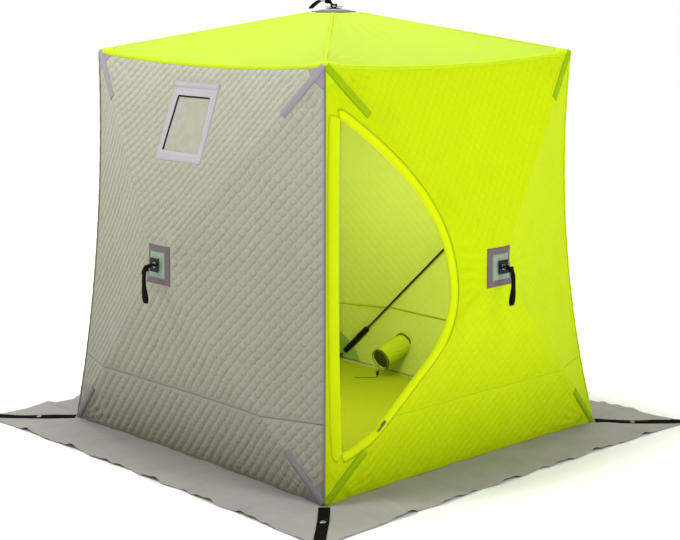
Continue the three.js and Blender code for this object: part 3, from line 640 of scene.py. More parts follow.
class Panel:
    """A wall in its own view from outside, X right, Y into the room and Z up, or the roof from above.
    Straight lines run from its peak to its four seams, each of which sags between two corners."""

    def __init__(self, name, turn, corners, sags, peak, depth_axis):
        self.name = name
        self.turn = Matrix.Rotation(turn * math.pi / 2, 3, "Z")
        self.corners = np.array(corners)
        self.sags = np.array(sags)
        self.peak = np.array(peak)
        self.depth_axis = depth_axis
        self.axes = [0, 2] if depth_axis == 1 else [0, 1]
        sides = np.repeat(np.arange(4), 60)
        shares = np.tile(np.arange(60) / 60, 4)
        offsets = self.rim(sides, shares) - self.peak
        angles = np.arctan2(offsets[:, self.axes[1]], offsets[:, self.axes[0]])
        order = np.argsort(angles)
        self.angles = angles[order]
        self.reach = np.hypot(offsets[:, self.axes[0]], offsets[:, self.axes[1]])[order]
        self.fall = offsets[:, depth_axis][order]

    def rim(self, side, share):
        following = (side + 1) % 4
        share = np.asarray(share)[..., None]
        line = self.corners[side] + share * (self.corners[following] - self.corners[side])
        return line + 4 * share * (1 - share) * self.sags[side]

    def on_grid(self, a, b):
        """The point at a and b, which run from -1 to 1 between the panel's sides, with 0, 0 at its peak."""
        reach = np.maximum(np.abs(a), np.abs(b))
        safe = np.maximum(reach, 1e-9)
        u, v = a / safe, b / safe
        edge = 1 - 1e-9
        side = np.select([v <= -edge, u >= edge, v >= edge], [0, 1, 2], 3)
        ways = [(u + 1) / 2, (v + 1) / 2, (1 - u) / 2, (1 - v) / 2]
        share = np.choose(side, ways)
        return self.peak + reach[..., None] * (self.rim(side, share) - self.peak)

    def polar(self, x, z):
        dx, dz = x - self.peak[self.axes[0]], z - self.peak[self.axes[1]]
        angle = np.arctan2(dz, dx)
        share = np.hypot(dx, dz) / np.interp(angle, self.angles, self.reach, period=2 * math.pi)
        return angle, share

    def share(self, x, z):
        """How far out from the peak a point is: 0 at the peak and 1 on the seams."""
        return self.polar(x, z)[1]

    def depth(self, x, z):
        angle, share = self.polar(x, z)
        fall = np.interp(angle, self.angles, self.fall, period=2 * math.pi)
        return self.peak[self.depth_axis] + share * fall

    def at(self, x, z, height=0.0):
        """The point over x and z in the panel's view, at a height outside it along its own normal."""
        x, z = np.asarray(x, dtype=float), np.asarray(z, dtype=float)
        step = 0.006
        slope_x = (self.depth(x + step, z) - self.depth(x - step, z)) / (2 * step)
        slope_z = (self.depth(x, z + step) - self.depth(x, z - step)) / (2 * step)
        depth = self.depth(x, z)
        if self.depth_axis == 1:
            point = np.stack([x, depth, z], axis=-1)
            normal = np.stack([slope_x, -np.ones_like(x), slope_z], axis=-1)
        else:
            point = np.stack([x, z, depth], axis=-1)
            normal = np.stack([-slope_x, -slope_z, np.ones_like(x)], axis=-1)
        return point + np.asarray(height)[..., None] * unit(normal)

    def placed(self, points):
        return np.asarray(points) @ np.array(self.turn).T

    def in_room(self, x, z, height):
        return self.placed(self.at(x, z, height))

    def bend(self, obj):
        """Gives each point a part in the hub's travel, falling evenly from the hub to the seams whatever the
        point's own height over the panel, and stands the points on the line from start to peak at those
        parts. Then it bakes the piece's transform and puts the points back where they were."""
        out = self.turn @ Vector(self.out())
        peak = self.turn @ Vector(self.peak)
        start = peak - out * self.rise()
        places = np.array([vertex.co for vertex in obj.data.vertices])
        own = places @ np.array(self.turn)
        part = np.clip((1 - self.share(own[:, self.axes[0]], own[:, self.axes[1]])) / (1 - HUB_HELD), 0, 1)
        along = 0.5 - np.sin(np.arcsin(1 - 2 * part) / 3)
        lined = np.array(start) + along[:, None] * np.array(peak - start)
        obj.data.vertices.foreach_set("co", lined.ravel())
        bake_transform(obj)
        obj.data.vertices.foreach_set("co", places.ravel())
        obj.data.update()
        return obj

    def out(self):
        return (0, -math.cos(LEAN), math.sin(LEAN)) if self.depth_axis == 1 else (0, 0, 1)

    def rise(self):
        return HUB_OUT if self.depth_axis == 1 else APEX_HEIGHT - WALL_HEIGHT


def wall_panel(name, turn, left_bow, right_bow):
    b, t, h = BASE_HALF, TOP_HALF, WALL_HEIGHT
    corners = [(-b, -b, WALL_FOOT), (b, -b, WALL_FOOT), (t, -t, h), (-t, -t, h)]
    left, right = left_bow / math.sqrt(2), right_bow / math.sqrt(2)
    sags = [(0, FOOT_SEAM_IN, 0), (-right, right, 0), (0, TOP_SEAM_IN, -TOP_SEAM_DROP), (left, left, 0)]
    plane = b + (t - b) * HUB_HEIGHT / h
    peak = (0, -plane - HUB_OUT * math.cos(LEAN), HUB_HEIGHT + HUB_OUT * math.sin(LEAN))
    return Panel(name, turn, corners, sags, peak, 1)


def roof_panel():
    t, h = TOP_HALF, WALL_HEIGHT
    corners = [(-t, -t, h), (t, -t, h), (t, t, h), (-t, t, h)]
    inward, drop = TOP_SEAM_IN, -TOP_SEAM_DROP
    sags = [(0, inward, drop), (-inward, 0, drop), (0, -inward, drop), (inward, 0, drop)]
    return Panel("roof", 0, corners, sags, (0, 0, APEX_HEIGHT), 2)


FRONT, RIGHT, BACK, LEFT = [
    wall_panel(name, turn, CORNER_BOWS[turn], CORNER_BOWS[(turn + 1) % 4])
    for turn, name in enumerate(("front", "right", "back", "left"))
]
ROOF = roof_panel()
WALLS = (FRONT, RIGHT, BACK, LEFT)
LIME_WALLS = (FRONT, RIGHT)


def look(panel, lime, grey):
    """The first of two names for the yellow-green walls, and the second for the grey ones."""
    return lime if panel in LIME_WALLS else grey


def trimmed(keep_cell, x, z, outline, keep_inside):
    """Drops the cells on the wrong side of an outline, and moves the points left over onto it."""
    far, near_x, near_z = inside_of(outline, x, z)
    right_side = far > 0 if keep_inside else far < 0
    any_right = right_side[:-1, :-1] | right_side[1:, :-1] | right_side[:-1, 1:] | right_side[1:, 1:]
    keep_cell &= any_right
    return keep_cell, np.where(right_side, x, near_x), np.where(right_side, z, near_z)


def kept_quads(keep):
    """The kept cells' corners, the grid points they use, and faces for the rim between two such sheets."""
    index = np.arange((keep.shape[0] + 1) * (keep.shape[1] + 1)).reshape(keep.shape[0] + 1, -1)
    i, j = np.nonzero(keep)
    quads = np.stack([index[i, j], index[i + 1, j], index[i + 1, j + 1], index[i, j + 1]], axis=1)
    used, inverse = np.unique(quads, return_inverse=True)
    quads = inverse.reshape(quads.shape)
    edges = quads[:, [0, 1, 1, 2, 2, 3, 3, 0]].reshape(-1, 2)
    keys = np.sort(edges, axis=1)
    _, first, counts = np.unique(keys, axis=0, return_index=True, return_counts=True)
    border = edges[first[counts == 1]]
    count = len(used)
    sides = np.stack([border[:, 1], border[:, 0], border[:, 0] + count, border[:, 1] + count], axis=1)
    return quads, used, sides


WHOLE = (-1, 1, -1, 1)


def sheet_mesh(name, panel, cells, top, foot, surface, span=WHOLE, inner=None, edge=None, **more):
    """A closed sheet on a panel. top and foot give its two faces' heights at x, z, a and b, and top also the
    share of quilting that shows. A sewn patch is unwrapped by the distance from its edge. It may be cut
    within an outline, have a hole, and have a lining of its own material."""
    a_line = np.linspace(span[0], span[1], cells[0] + 1)
    b_line = np.linspace(span[2], span[3], cells[1] + 1)
    a, b = np.meshgrid(a_line, b_line, indexing="ij")
    flat = panel.on_grid(a, b)[..., panel.axes]
    x, z = flat[..., 0], flat[..., 1]
    keep = np.ones((cells[0], cells[1]), dtype=bool)
    if inner is not None:
        reach = np.maximum(np.abs(a), np.abs(b))
        keep &= (reach[:-1, :-1] >= inner) | (reach[1:, 1:] >= inner)
    for outline, keep_inside in ((more.get("within"), True), (more.get("hole"), False)):
        if outline is not None:
            keep, x, z = trimmed(keep, x, z, outline, keep_inside)
    high, quilt = top(x, z, a, b)
    upper = panel.in_room(x, z, high).reshape(-1, 3)
    lower = panel.in_room(x, z, foot(x, z, a, b)).reshape(-1, 3)
    uv = np.stack(hand_sewn(a, b), axis=-1).reshape(-1, 2) * DIAMONDS / 2
    if edge is not None:
        uv = np.stack([x + z, inside_of(edge, x, z)[0]], axis=-1).reshape(-1, 2)
    quads, used, sides = kept_quads(keep)
    faces = np.vstack([quads, quads[:, ::-1] + len(used), sides])
    verts = np.vstack([upper[used], lower[used]])
    values = np.tile(np.broadcast_to(quilt, a.shape).reshape(-1)[used], 2)
    obj = make(name, verts, faces, surface, np.tile(uv[used], (2, 1)), values)
    if "lining" in more:
        obj.data.materials.append(more["lining"])
        slots = np.zeros(len(faces), dtype=np.int32)
        slots[len(quads) : 2 * len(quads)] = 1
        obj.data.polygons.foreach_set("material_index", slots)
    return obj


def hand_sewn(a, b):
    """The quilting's grid, a little off straight as cloth is when it is sewn."""
    shift = 0.0026 * np.sin(a * 21 + 2 * np.sin(b * 13)), 0.0026 * np.sin(b * 19 + 2 * np.sin(a * 11))
    return a + shift[0], b + shift[1]


def puffed(a, b):
    """The quilting's own height, 0 in the stitched valleys and 1 in the middle of each diamond. The seams
    that rise to the right pull deeper, so the diamonds overlap like scales."""
    a, b = hand_sewn(a, b)
    falling = np.abs(np.sin(math.pi * DIAMONDS * (a + b) / 2))
    rising = DIAMONDS * (a - b) / 2 - SCALLOP * falling
    rising = (rising - np.floor(rising)) ** 1.25
    return np.abs(np.sin(math.pi * rising)) ** 0.65 * (0.22 + 0.78 * falling**0.6)


# How deep the cloth's folds are: a slow sway, fans round the hub and fans from the corners
SWAY = 0.0045
HUB_PULLS = 0.0018
CORNER_PULLS = 0.003


def folds(panel, x, z, seed):
    """Shallow pulls in the cloth: fans from the corners and the hub, and a slow sway."""
    points = panel.at(x, z).reshape(-1, 3)
    sway = wobble(points, 3.2, seed).reshape(x.shape) * SWAY
    angle, share = panel.polar(x, z)
    fan = np.sin(angle * 23 + 3 * np.sin(angle * 3 + seed)) * HUB_PULLS * smoothstep(share, 0.9, 0.15)
    corners = np.zeros_like(x)
    for corner in panel.corners:
        dx, dz = x - corner[panel.axes[0]], z - corner[panel.axes[1]]
        far = np.hypot(dx, dz)
        turn = np.arctan2(dz, dx)
        rays = np.sin(turn * 34 + seed) * CORNER_PULLS
        corners += rays * smoothstep(far, 0.42, 0.12) * smoothstep(far, 0.02, 0.10)
    rim = smoothstep(1 - share, 0.0, 0.06)
    return (sway + fan + corners) * rim


DOOR = door_outline()


def door_smooth(x, z):
    """The front wall's quilting stops at the door's band, beside its upright side and towards the hub."""
    far = -inside_of(DOOR, x, z)[0]
    band = smoothstep(far, DOOR_BAND, DOOR_BAND + 0.02)
    side_x = np.interp(z, [DOOR_SIDE_FOOT[1], DOOR_SIDE_TOP[1]], [DOOR_SIDE_FOOT[0], DOOR_SIDE_TOP[0]])
    side = smoothstep(x - side_x, -0.01, 0.03)
    angle, _ = FRONT.polar(x, z)
    west = smoothstep(np.abs(np.abs(angle) - math.pi), 0.75, 0.5)
    hubward = 1 - 0.8 * west * smoothstep(x, DOOR_NOSE_X - 0.3, DOOR_NOSE_X - 0.1)
    return band * side * hubward, west * band


# The rods' pockets, and the legs of the triangular patches in the corners
POCKET_WIDE = 0.036
POCKET_LONG = 0.285
CORNER_LEG = 0.135


def covered(panel, x, z):
    """1 where a corner's patch and pocket lie on the quilting and press it flat, 0 away from them."""
    result = np.zeros_like(x)
    axes = panel.axes
    peak = panel.peak[axes]
    for number in range(4):
        corner = panel.corners[number][axes]
        following = panel.corners[(number + 1) % 4][axes]
        before = panel.corners[number - 1][axes]
        offset = np.stack([x - corner[0], z - corner[1]], axis=-1)
        way = (peak - corner) / np.linalg.norm(peak - corner)
        along = offset @ way
        across = np.abs(offset @ np.array([-way[1], way[0]]))
        strip = smoothstep(across, POCKET_WIDE / 2 + 0.007, POCKET_WIDE / 2)
        strip = strip * smoothstep(along, POCKET_LONG + 0.007, POCKET_LONG)
        legs = []
        for other in (following, before):
            side = (other - corner) / np.linalg.norm(other - corner)
            legs.append(offset @ side)
        triangle = smoothstep(legs[0] + legs[1], CORNER_LEG + 0.022, CORNER_LEG + 0.008)
        result = np.maximum(result, np.maximum(strip, triangle))
    return result


def window_cover(x, z):
    """1 under the window's surround, 0 away from it."""
    return smoothstep(inside_of(four_sided(FRAME), x, z)[0], -0.008, -0.001)


def wall_faces(panel, seed):
    def top(x, z, a, b):
        share = np.maximum(np.abs(a), np.abs(b))
        rim = smoothstep((1 - share) * BASE_HALF, 0.006, SMOOTH_RIM)
        hub = smoothstep(share, PATCH - 0.002, PATCH + 0.02)
        lap = smoothstep(np.abs(z - LAP_HEIGHT), LAP_HALF, LAP_HALF + 0.008)
        quilt = rim * hub * lap * (1 - covered(panel, x, z))
        height = folds(panel, x, z, seed) * hub * (1 - 0.9 * covered(panel, x, z))
        if panel is FRONT:
            smooth, west = door_smooth(x, z)
            quilt = quilt * smooth
            creases = np.sin(z * 2 * math.pi / 0.052 + 2.2 * np.sin(z * 9 + x * 14)) * 0.0032
            height += creases * west * hub * smoothstep(x, -0.42, -0.2)
            height *= smoothstep(-inside_of(DOOR, x, z)[0], DOOR_BAND + 0.008, DOOR_BAND + 0.04)
        if panel is LEFT:
            bare = 1 - window_cover(x, z)
            quilt = quilt * bare
            height *= bare
        return height - 0.0012 + (LIME_PUFF if panel in LIME_WALLS else PUFF) * puffed(a, b) * quilt, quilt

    def foot(x, z, a, b):
        still = 1 - covered(panel, x, z)
        if panel is FRONT:
            still = still * smoothstep(-inside_of(DOOR, x, z)[0], DOOR_BAND + 0.008, DOOR_BAND + 0.04)
        if panel is LEFT:
            still = still * (1 - window_cover(x, z))
        return -CLOTH + (folds(panel, x, z, seed) * 0.6 - 0.0025 * puffed(a, b)) * still

    return top, foot


def vent_hole():
    """Where the sleeve passes the right wall, in that wall's own view."""
    line = VENT_TO - VENT_FROM
    middle = VENT_FROM
    for _ in range(8):
        wall = float(RIGHT.depth(middle.x, middle.z))
        middle = VENT_FROM + line * ((wall - VENT_FROM.y) / line.y)
    turns = circle(48)
    tall = VENT_RADIUS * line.length / abs(line.y)
    return np.stack([middle.x + VENT_RADIUS * np.cos(turns), middle.z + tall * np.sin(turns)], axis=1)


def fitted(obj, slot, body, *nodes):
    """Hides the CAD nodes that a piece stands for and hangs it on the body that it rides on. Its slot is not
    used.
    """
    if nodes:
        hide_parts(*nodes)
    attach(obj, body)


def on_panel(obj, panel, slot, *nodes):
    """Hides the CAD nodes that a piece sewn to a panel stands for, and runs the panel's bend on it. Its slot
    is not used.
    """
    if nodes:
        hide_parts(*nodes)
    panel.bend(obj)


def walls():
    cells = (DIAMONDS * STEPS, DIAMONDS * STEPS)
    holes = {"front": DOOR, "left": pane_outline(), "right": vent_hole()}
    for seed, panel in enumerate(WALLS):
        quilt = look(panel, "lime_quilt", "grey_quilt")
        lining = M[look(panel, "lime_lining", "grey_lining")]
        top, foot = wall_faces(panel, seed + 1)
        more = {"hole": holes.get(panel.name), "inner": WALL_FROM, "lining": lining}
        obj = sheet_mesh(panel.name + "_quilt", panel, cells, top, foot, M[quilt], **more)
        on_panel(obj, panel, quilt, panel.name + "_wall")


def roof():
    def top(x, z, a, b):
        share = np.maximum(np.abs(a), np.abs(b))
        hub = smoothstep(share, PATCH - 0.002, PATCH + 0.02)
        return folds(ROOF, x, z, 6) * hub * 0.8 - 0.0012, np.zeros_like(x)

    def foot(x, z, a, b):
        return folds(ROOF, x, z, 6) * 0.8 - CLOTH * 0.6

    obj = sheet_mesh("roof_cloth", ROOF, (150, 150), top, foot, M["roof_cloth"], inner=WALL_FROM)
    on_panel(obj, ROOF, "roof_fabric", "roof")


# Solids along paths and round axes
def plain_strip(name, sections, surface, uv=None, closed=False):
    """A closed strip through sections of points, with its two ends capped unless it joins up with itself."""
    sections = np.asarray(sections, dtype=float)
    count, ring = sections.shape[:2]
    faces = []
    for k in range(count if closed else count - 1):
        here, there = k * ring, (k + 1) % count * ring
        for i in range(ring):
            j = (i + 1) % ring
            faces.append((here + i, here + j, there + j, there + i))
    if not closed:
        faces.append(tuple(reversed(range(ring))))
        faces.append(tuple(range((count - 1) * ring, count * ring)))
    return make(name, sections.reshape(-1, 3), faces, surface, uv)


def tidy_normals(obj):
    mesh = bmesh.new()
    mesh.from_mesh(obj.data)
    bmesh.ops.recalc_face_normals(mesh, faces=mesh.faces)
    mesh.to_mesh(obj.data)
    mesh.free()
    return obj


def frames_along(points, side):
    """The direction, sideways and upward vectors at each point of a path."""
    points = np.asarray(points, dtype=float)
    ahead = unit(np.gradient(points, axis=0))
    side = np.broadcast_to(np.asarray(side, dtype=float), points.shape)
    side = unit(side - ahead * np.sum(side * ahead, axis=1, keepdims=True))
    return points, side, np.cross(side, ahead)


def smooth_path(points, steps):
    """A path through the given points, rounded by a Catmull-Rom curve."""
    points = np.asarray(points, dtype=float)
    padded = np.vstack([2 * points[0] - points[1], points, 2 * points[-1] - points[-2]])
    result = []
    for k in range(len(points) - 1):
        p0, p1, p2, p3 = padded[k : k + 4]
        for share in np.arange(steps) / steps:
            cubic = -p0 + 3 * p1 - 3 * p2 + p3
            square = 2 * p0 - 5 * p1 + 4 * p2 - p3
            result.append(0.5 * (2 * p1 + (p2 - p0) * share + square * share**2 + cubic * share**3))
    result.append(points[-1])
    return np.array(result)


def ribbon(name, points, side, width, thick, surface, belly=0.0):
    """A flat strap along a path, with rounded edges. Its cloth map runs along it and across it, in metres."""
    points, side, up = frames_along(points, side)
    half = width / 2
    across = np.array([-1, -0.97, -0.7, 0, 0.7, 0.97, 1, 1, 0.97, 0.7, 0, -0.7, -0.97, -1]) * half
    face = [0.2, 0.5, 0.5, 0.5 + belly, 0.5, 0.5, 0.2]
    back = [-0.2, -0.5, -0.5, -0.5, -0.5, -0.5, -0.2]
    rise = np.array(face + back) * thick
    sections = points[:, None] + side[:, None] * across[:, None] + up[:, None] * rise[:, None]
    uv = cloth_map(distances(points), across + half)
    return tidy_normals(plain_strip(name, sections, surface, uv))


def tube(name, points, radius, surface, sides):
    """A round cord along a path."""
    start = np.asarray(points[1]) - np.asarray(points[0])
    points, side, up = frames_along(points, np.cross(start, (0.13, 0.28, 0.95)))
    turns = circle(sides)
    ring = side[:, None] * np.cos(turns)[:, None] + up[:, None] * np.sin(turns)[:, None]
    uv = cloth_map(distances(points), turns * radius)
    return tidy_normals(plain_strip(name, points[:, None] + ring * radius, surface, uv))


def turned(name, centre, axis, profile, surfaces, sides, closed=False):
    """A solid turned about an axis. Each row of the profile is a radius, a place along the axis and, where
    there is more than one, the number of the surface of the band up to the next row."""
    axis = Vector(axis).normalized()
    side = axis.orthogonal().normalized()
    up = axis.cross(side)
    turns = circle(sides)
    rim = np.cos(turns)[:, None] * np.array(side) + np.sin(turns)[:, None] * np.array(up)
    rows = [(*row, 0)[:3] for row in profile]
    sections = [np.array(centre) + rim * radius + np.array(axis) * along for radius, along, _ in rows]
    obj = plain_strip(name, sections, surfaces[0], closed=closed)
    for surface in surfaces[1:]:
        obj.data.materials.append(surface)
    slots = [row[2] for row in (rows if closed else rows[:-1]) for _ in range(sides)]
    if not closed:
        slots += [rows[0][2], rows[-1][2]]
    obj.data.polygons.foreach_set("material_index", slots)
    return tidy_normals(obj)


def joined(name, pieces):
    """One piece made of several."""
    bpy.ops.object.select_all(action="DESELECT")
    for piece in pieces:
        piece.select_set(True)
    bpy.context.view_layer.objects.active = pieces[0]
    bpy.ops.object.join()
    pieces[0].name = name
    return pieces[0]


def drawcord():
    route = smooth_path(CORD_ROUTE, 4)
    cord = tube("vent_cord", route, CORD_RADIUS, M["cord"], 10)
    fitted(cord, "cord_black", "shell", "vent_drawcord")
    toggle = frame["nodes"]["vent_toggle"]
    settings = {"exit": CORD_ROUTE[0], "length": round(float(distances(route)[-1]), 4)}
    settings |= {"diameter": 2 * CORD_RADIUS, "with_pieces": [toggle]}
    settings |= {"far_end": "knot", "stiffness": "limp", "lay": "loose"}


drawcord()
walls()
roof()


# Patches, strips and seams sewn to the panels
def level(height):
    """An upper face at one height, with no quilting."""
    return lambda x, z, a, b: (np.full(x.shape, height), np.zeros_like(x))


def flat_foot(height):
    """A lower face at one height."""
    return lambda x, z, a, b: np.full(x.shape, height)


def square_outline(panel, share):
    steps = np.linspace(-1, 1, 9)[:-1]
    line = np.ones_like(steps)
    a = np.concatenate([steps, line, -steps, -line]) * share
    b = np.concatenate([-line, steps, line, -steps]) * share
    return panel.on_grid(a, b)[:, panel.axes]


def round_outline(panel, radius):
    turns = circle(40)
    return panel.peak[panel.axes] + radius * np.stack([np.cos(turns), np.sin(turns)], axis=1)


def hub_patches(panel):
    """The reinforced square round the hub: a wide dark patch and a paler one sewn over it."""
    def top(x, z, a, b):
        ripple = np.sin(a * 260) * np.sin(b * 230) * 0.0004
        return 0.0004 + ripple * smoothstep(np.maximum(abs(a), abs(b)), 0.06, 0.075), np.zeros_like(x)

    hole = round_outline(panel, PATCH_HOLE)
    for name, share, cells, face, foot, surface, nodes in (
        ("outer", PATCH, 36, top, -0.003, "mauve_patch", [panel.name + "_hub_patch"]),
        ("inner", INNER_PATCH, 30, level(0.0016), 0.0, "sage_patch", []),
    ):
        more = {"hole": hole, "span": (-share, share, -share, share), "edge": square_outline(panel, share)}
        name = f"{panel.name}_{name}_patch"
        obj = sheet_mesh(name, panel, (cells, cells), face, flat_foot(foot), M[surface], **more)
        on_panel(obj, panel, "patch_fabric", *nodes)


def strip_on(name, panel, line, across, width, height, foot, surface, wander=None):
    """A strip of cloth lying on a panel along a line of x, z points, with its width across that line."""
    line = np.asarray(line, dtype=float)
    shares = np.linspace(-0.5, 0.5, across + 1)
    ahead = unit(np.gradient(line, axis=0))
    side = np.stack([-ahead[:, 1], ahead[:, 0]], axis=1)
    flat = line[:, None] + side[:, None] * (shares * width)[:, None]
    x, z = flat[..., 0], flat[..., 1]
    high = np.full(x.shape, height)
    if wander is not None:
        high = high + wander(x, z)
    edge = smoothstep(0.5 - np.abs(shares), 0.0, 0.12)
    high = foot + (high - foot) * (0.35 + 0.65 * edge)
    lower = panel.in_room(x, z, np.full(x.shape, foot))
    sections = np.concatenate([panel.in_room(x, z, high), lower[:, ::-1]], axis=1)
    uv = cloth_map(distances(line), np.concatenate([shares, shares[::-1]]) * width + width / 2)
    return tidy_normals(plain_strip(name, sections, surface, uv))


def ridge(panel, corner, start, end, steps):
    """Points along the ridge from a panel's corner towards its peak, in the panel's view."""
    far = panel.corners[corner][panel.axes]
    way = unit(panel.peak[panel.axes] - far)
    return far + np.linspace(start, end, steps)[:, None] * way


def corner_triangle(panel, corner, leg):
    """A triangle in a panel's corner, with its legs along the two seams."""
    ahead = panel.rim(np.array(corner), np.linspace(0, 1, 81))[:, panel.axes]
    behind = panel.rim(np.array((corner - 1) % 4), np.linspace(1, 0, 81))[:, panel.axes]
    ahead, behind = [side[np.linalg.norm(side - side[0], axis=1) <= leg] for side in (ahead, behind)]
    return np.vstack([ahead, behind[:0:-1]])


def corner_patch(name, panel, corner, leg, reach, cells, top, foot, surface):
    """A triangular patch in a panel's corner, cut from that corner's share of the panel's grid."""
    span = []
    for side in CORNER_SIGNS[corner]:
        span += [-1, -1 + reach] if side < 0 else [1 - reach, 1]
    outline = corner_triangle(panel, corner, leg)
    more = {"within": outline, "span": span, "edge": outline}
    return sheet_mesh(name, panel, (cells, cells), top, flat_foot(foot), surface, **more)


def corner_pieces(panel):
    """At each corner, a triangular patch with the rod's pocket sewn along the ridge."""
    def top(x, z, a, b):
        return 0.0006 + ruffle(x, z) * 0.5, np.zeros_like(x)

    patch = M[look(panel, "lime_trim", "grey_trim")]
    pocket = M[look(panel, "olive_trim", "grey_trim")]
    for corner in range(4):
        name = f"{panel.name}_corner_patch_{corner}"
        obj = corner_patch(name, panel, corner, CORNER_LEG, 0.2, 26, top, -0.004, patch)
        on_panel(obj, panel, look(panel, "lime_quilt", "grey_trim"))
        line = ridge(panel, corner, 0.012, POCKET_LONG, 60)
        name = f"{panel.name}_rod_pocket_{corner}"
        obj = strip_on(name, panel, line, 8, POCKET_WIDE, 0.0042, -0.002, pocket, ruffle)
        on_panel(obj, panel, "grey_trim")


def ruffle(x, z):
    """The small gathers of cloth sewn over a taut seam."""
    return 0.0009 * np.sin(x * 260 + 3 * np.sin(z * 31)) * np.sin(z * 240 + 2 * np.sin(x * 37))


def seam_x(panel, height):
    """Where a wall's two upright seams stand at a height, in its own view."""
    places = []
    for seam in (3, 1):
        points = panel.rim(np.array(seam), np.linspace(0, 1, 60))
        points = points[np.argsort(points[:, 2])]
        places.append(np.interp(height, points[:, 2], points[:, 0]))
    return places


def lap_runs(panel, end, apart):
    """The lap seam's stretches: one line from seam to seam, or two where the doorway breaks it."""
    left, right = seam_x(panel, LAP_HEIGHT)
    x = np.linspace(left + end, right - end, 400)
    lines = np.stack([x, np.full_like(x, LAP_HEIGHT)], axis=1)
    if panel is not FRONT:
        return [lines]
    far = inside_of(DOOR, x, lines[:, 1])[0]
    middle = x[far > 0].mean()
    return [lines[(far < -apart) & (x < middle)], lines[(far < -apart) & (x > middle)]]


def lap_seam(panel):
    wander = partial(folds, panel, seed=WALLS.index(panel) + 1)
    trim = M[look(panel, "lime_trim", "grey_trim")]
    for number, line in enumerate(lap_runs(panel, 0.004, DOOR_BAND)):
        obj = strip_on(f"{panel.name}_lap_{number}", panel, line, 4, LAP_WIDE, 0.0010, -0.003, trim, wander)
        on_panel(obj, panel, look(panel, "lime_quilt", "grey_trim"))


INNER_DEPTH = -0.0145  # the inner binding's face, under the wall's cloth


def inner_seam(panel):
    """The same seam's binding on the inside."""
    surface = M["inner_seam"]
    for line in lap_runs(panel, 0.01, 0.02):
        obj = strip_on(f"{panel.name}_inner_seam", panel, line, 3, LAP_WIDE, INNER_DEPTH, -0.006, surface)
        on_panel(obj, panel, "grey_trim")


def inner_corners(panel):
    """The dark patches inside a wall's foot corners: each runs from a tip on the foot up along the seam."""
    leg, tall, inset = 0.17, 0.18, 0.004
    for side, sign in enumerate((-1, 1)):
        seam = panel.rim(np.array(3 if side == 0 else 1), np.linspace(0, 1, 81))
        seam = seam[np.argsort(seam[:, 2])][:, [0, 2]]
        up = seam[seam[:, 1] < tall] + np.array([-sign * inset, 0.0])
        tip = np.array([[sign * BASE_HALF - sign * leg, 0.006]])
        outline = np.vstack([up, tip]) if side == 0 else np.vstack([tip, up[::-1]])
        span = (-1, -0.75, -1, -0.7) if side == 0 else (0.75, 1, -1, -0.7)
        more = {"within": outline, "span": span, "edge": outline}
        faces = (level(-0.006), flat_foot(INNER_DEPTH))
        name = f"{panel.name}_inner_corner_{side}"
        obj = sheet_mesh(name, panel, (30, 34), *faces, M["corner_green"], **more)
        on_panel(obj, panel, "grey_trim")


def corner_piping(number):
    """The bound seam where two walls meet, from the skirt up to the roof."""
    panel = WALLS[number]
    seam = panel.placed(panel.rim(np.array(3), np.linspace(0.006, 0.994, 90)))
    lime = {panel, WALLS[number - 1]} <= set(LIME_WALLS)
    outward = unit(seam * (1, 1, 0))
    sway = 0.0006 * np.sin(np.arange(len(seam)) * 1.7)
    points = seam + outward * (0.0006 + sway)[:, None]
    surface = M["lime_trim" if lime else "seam_binding"]
    obj = tube(f"corner_seam_{number}", points, 0.0042, surface, 10)
    fitted(obj, "lime_quilt" if lime else "grey_trim", "shell")


def roof_hem(panel):
    """The roof's edge, turned down over a wall and stitched."""
    rim = panel.rim(np.array(2), np.linspace(0.0, 1.0, 120))
    line = (rim[:, [0, 2]] - np.array([0, 0.008]))[::-1]
    obj = strip_on(f"roof_hem_{panel.name}", panel, line, 5, 0.018, 0.0026, -0.002, M["roof_hem"])
    fitted(obj, "roof_fabric", "shell")


def roof_ridges():
    hem = M["roof_hem"]
    for corner in range(4):
        line = ridge(ROOF, corner, 0.006, 0.99, 70)
        obj = strip_on(f"roof_ridge_{corner}", ROOF, line, 4, 0.013, 0.0012, -0.003, hem)
        on_panel(obj, ROOF, "roof_fabric")
        obj = corner_patch(f"roof_corner_{corner}", ROOF, corner, 0.11, 0.16, 22, level(0.0006), -0.003, hem)
        on_panel(obj, ROOF, "roof_fabric")


# The door
def door_edge():
    """The opening's outline from the top of its upright side round the curved side to the foot."""
    top, foot = np.array(DOOR_SIDE_TOP), np.array(DOOR_SIDE_FOOT)
    outline = door_outline(0.012)
    first = int(np.argmin(np.linalg.norm(outline - top, axis=1)))
    outline = np.roll(outline, -first, axis=0)
    last = int(np.argmin(np.linalg.norm(outline - foot, axis=1)))
    curved, straight = outline[: last + 1], outline[last:]
    if curved[len(curved) // 2, 0] < straight[len(straight) // 2, 0]:
        curved, straight = straight, curved
    return curved, straight


def edge_strip(name, line, offsets, heights, surface):
    """A strip along part of the door's edge: each offset is out from the opening, each height over the
    wall."""
    ahead = unit(np.gradient(line, axis=0))
    outward = np.stack([ahead[:, 1], -ahead[:, 0]], axis=1)
    if np.mean(inside_of(DOOR, *(line + 0.01 * outward).T)[0]) > 0:
        outward = -outward
    flat = line[:, None] + outward[:, None] * np.asarray(offsets)[:, None]
    high = np.broadcast_to(np.asarray(heights), flat.shape[:2])
    sections = FRONT.in_room(flat[..., 0], flat[..., 1], high)
    uv = cloth_map(distances(line), np.asarray(offsets))
    return tidy_normals(plain_strip(name, sections, surface, uv))


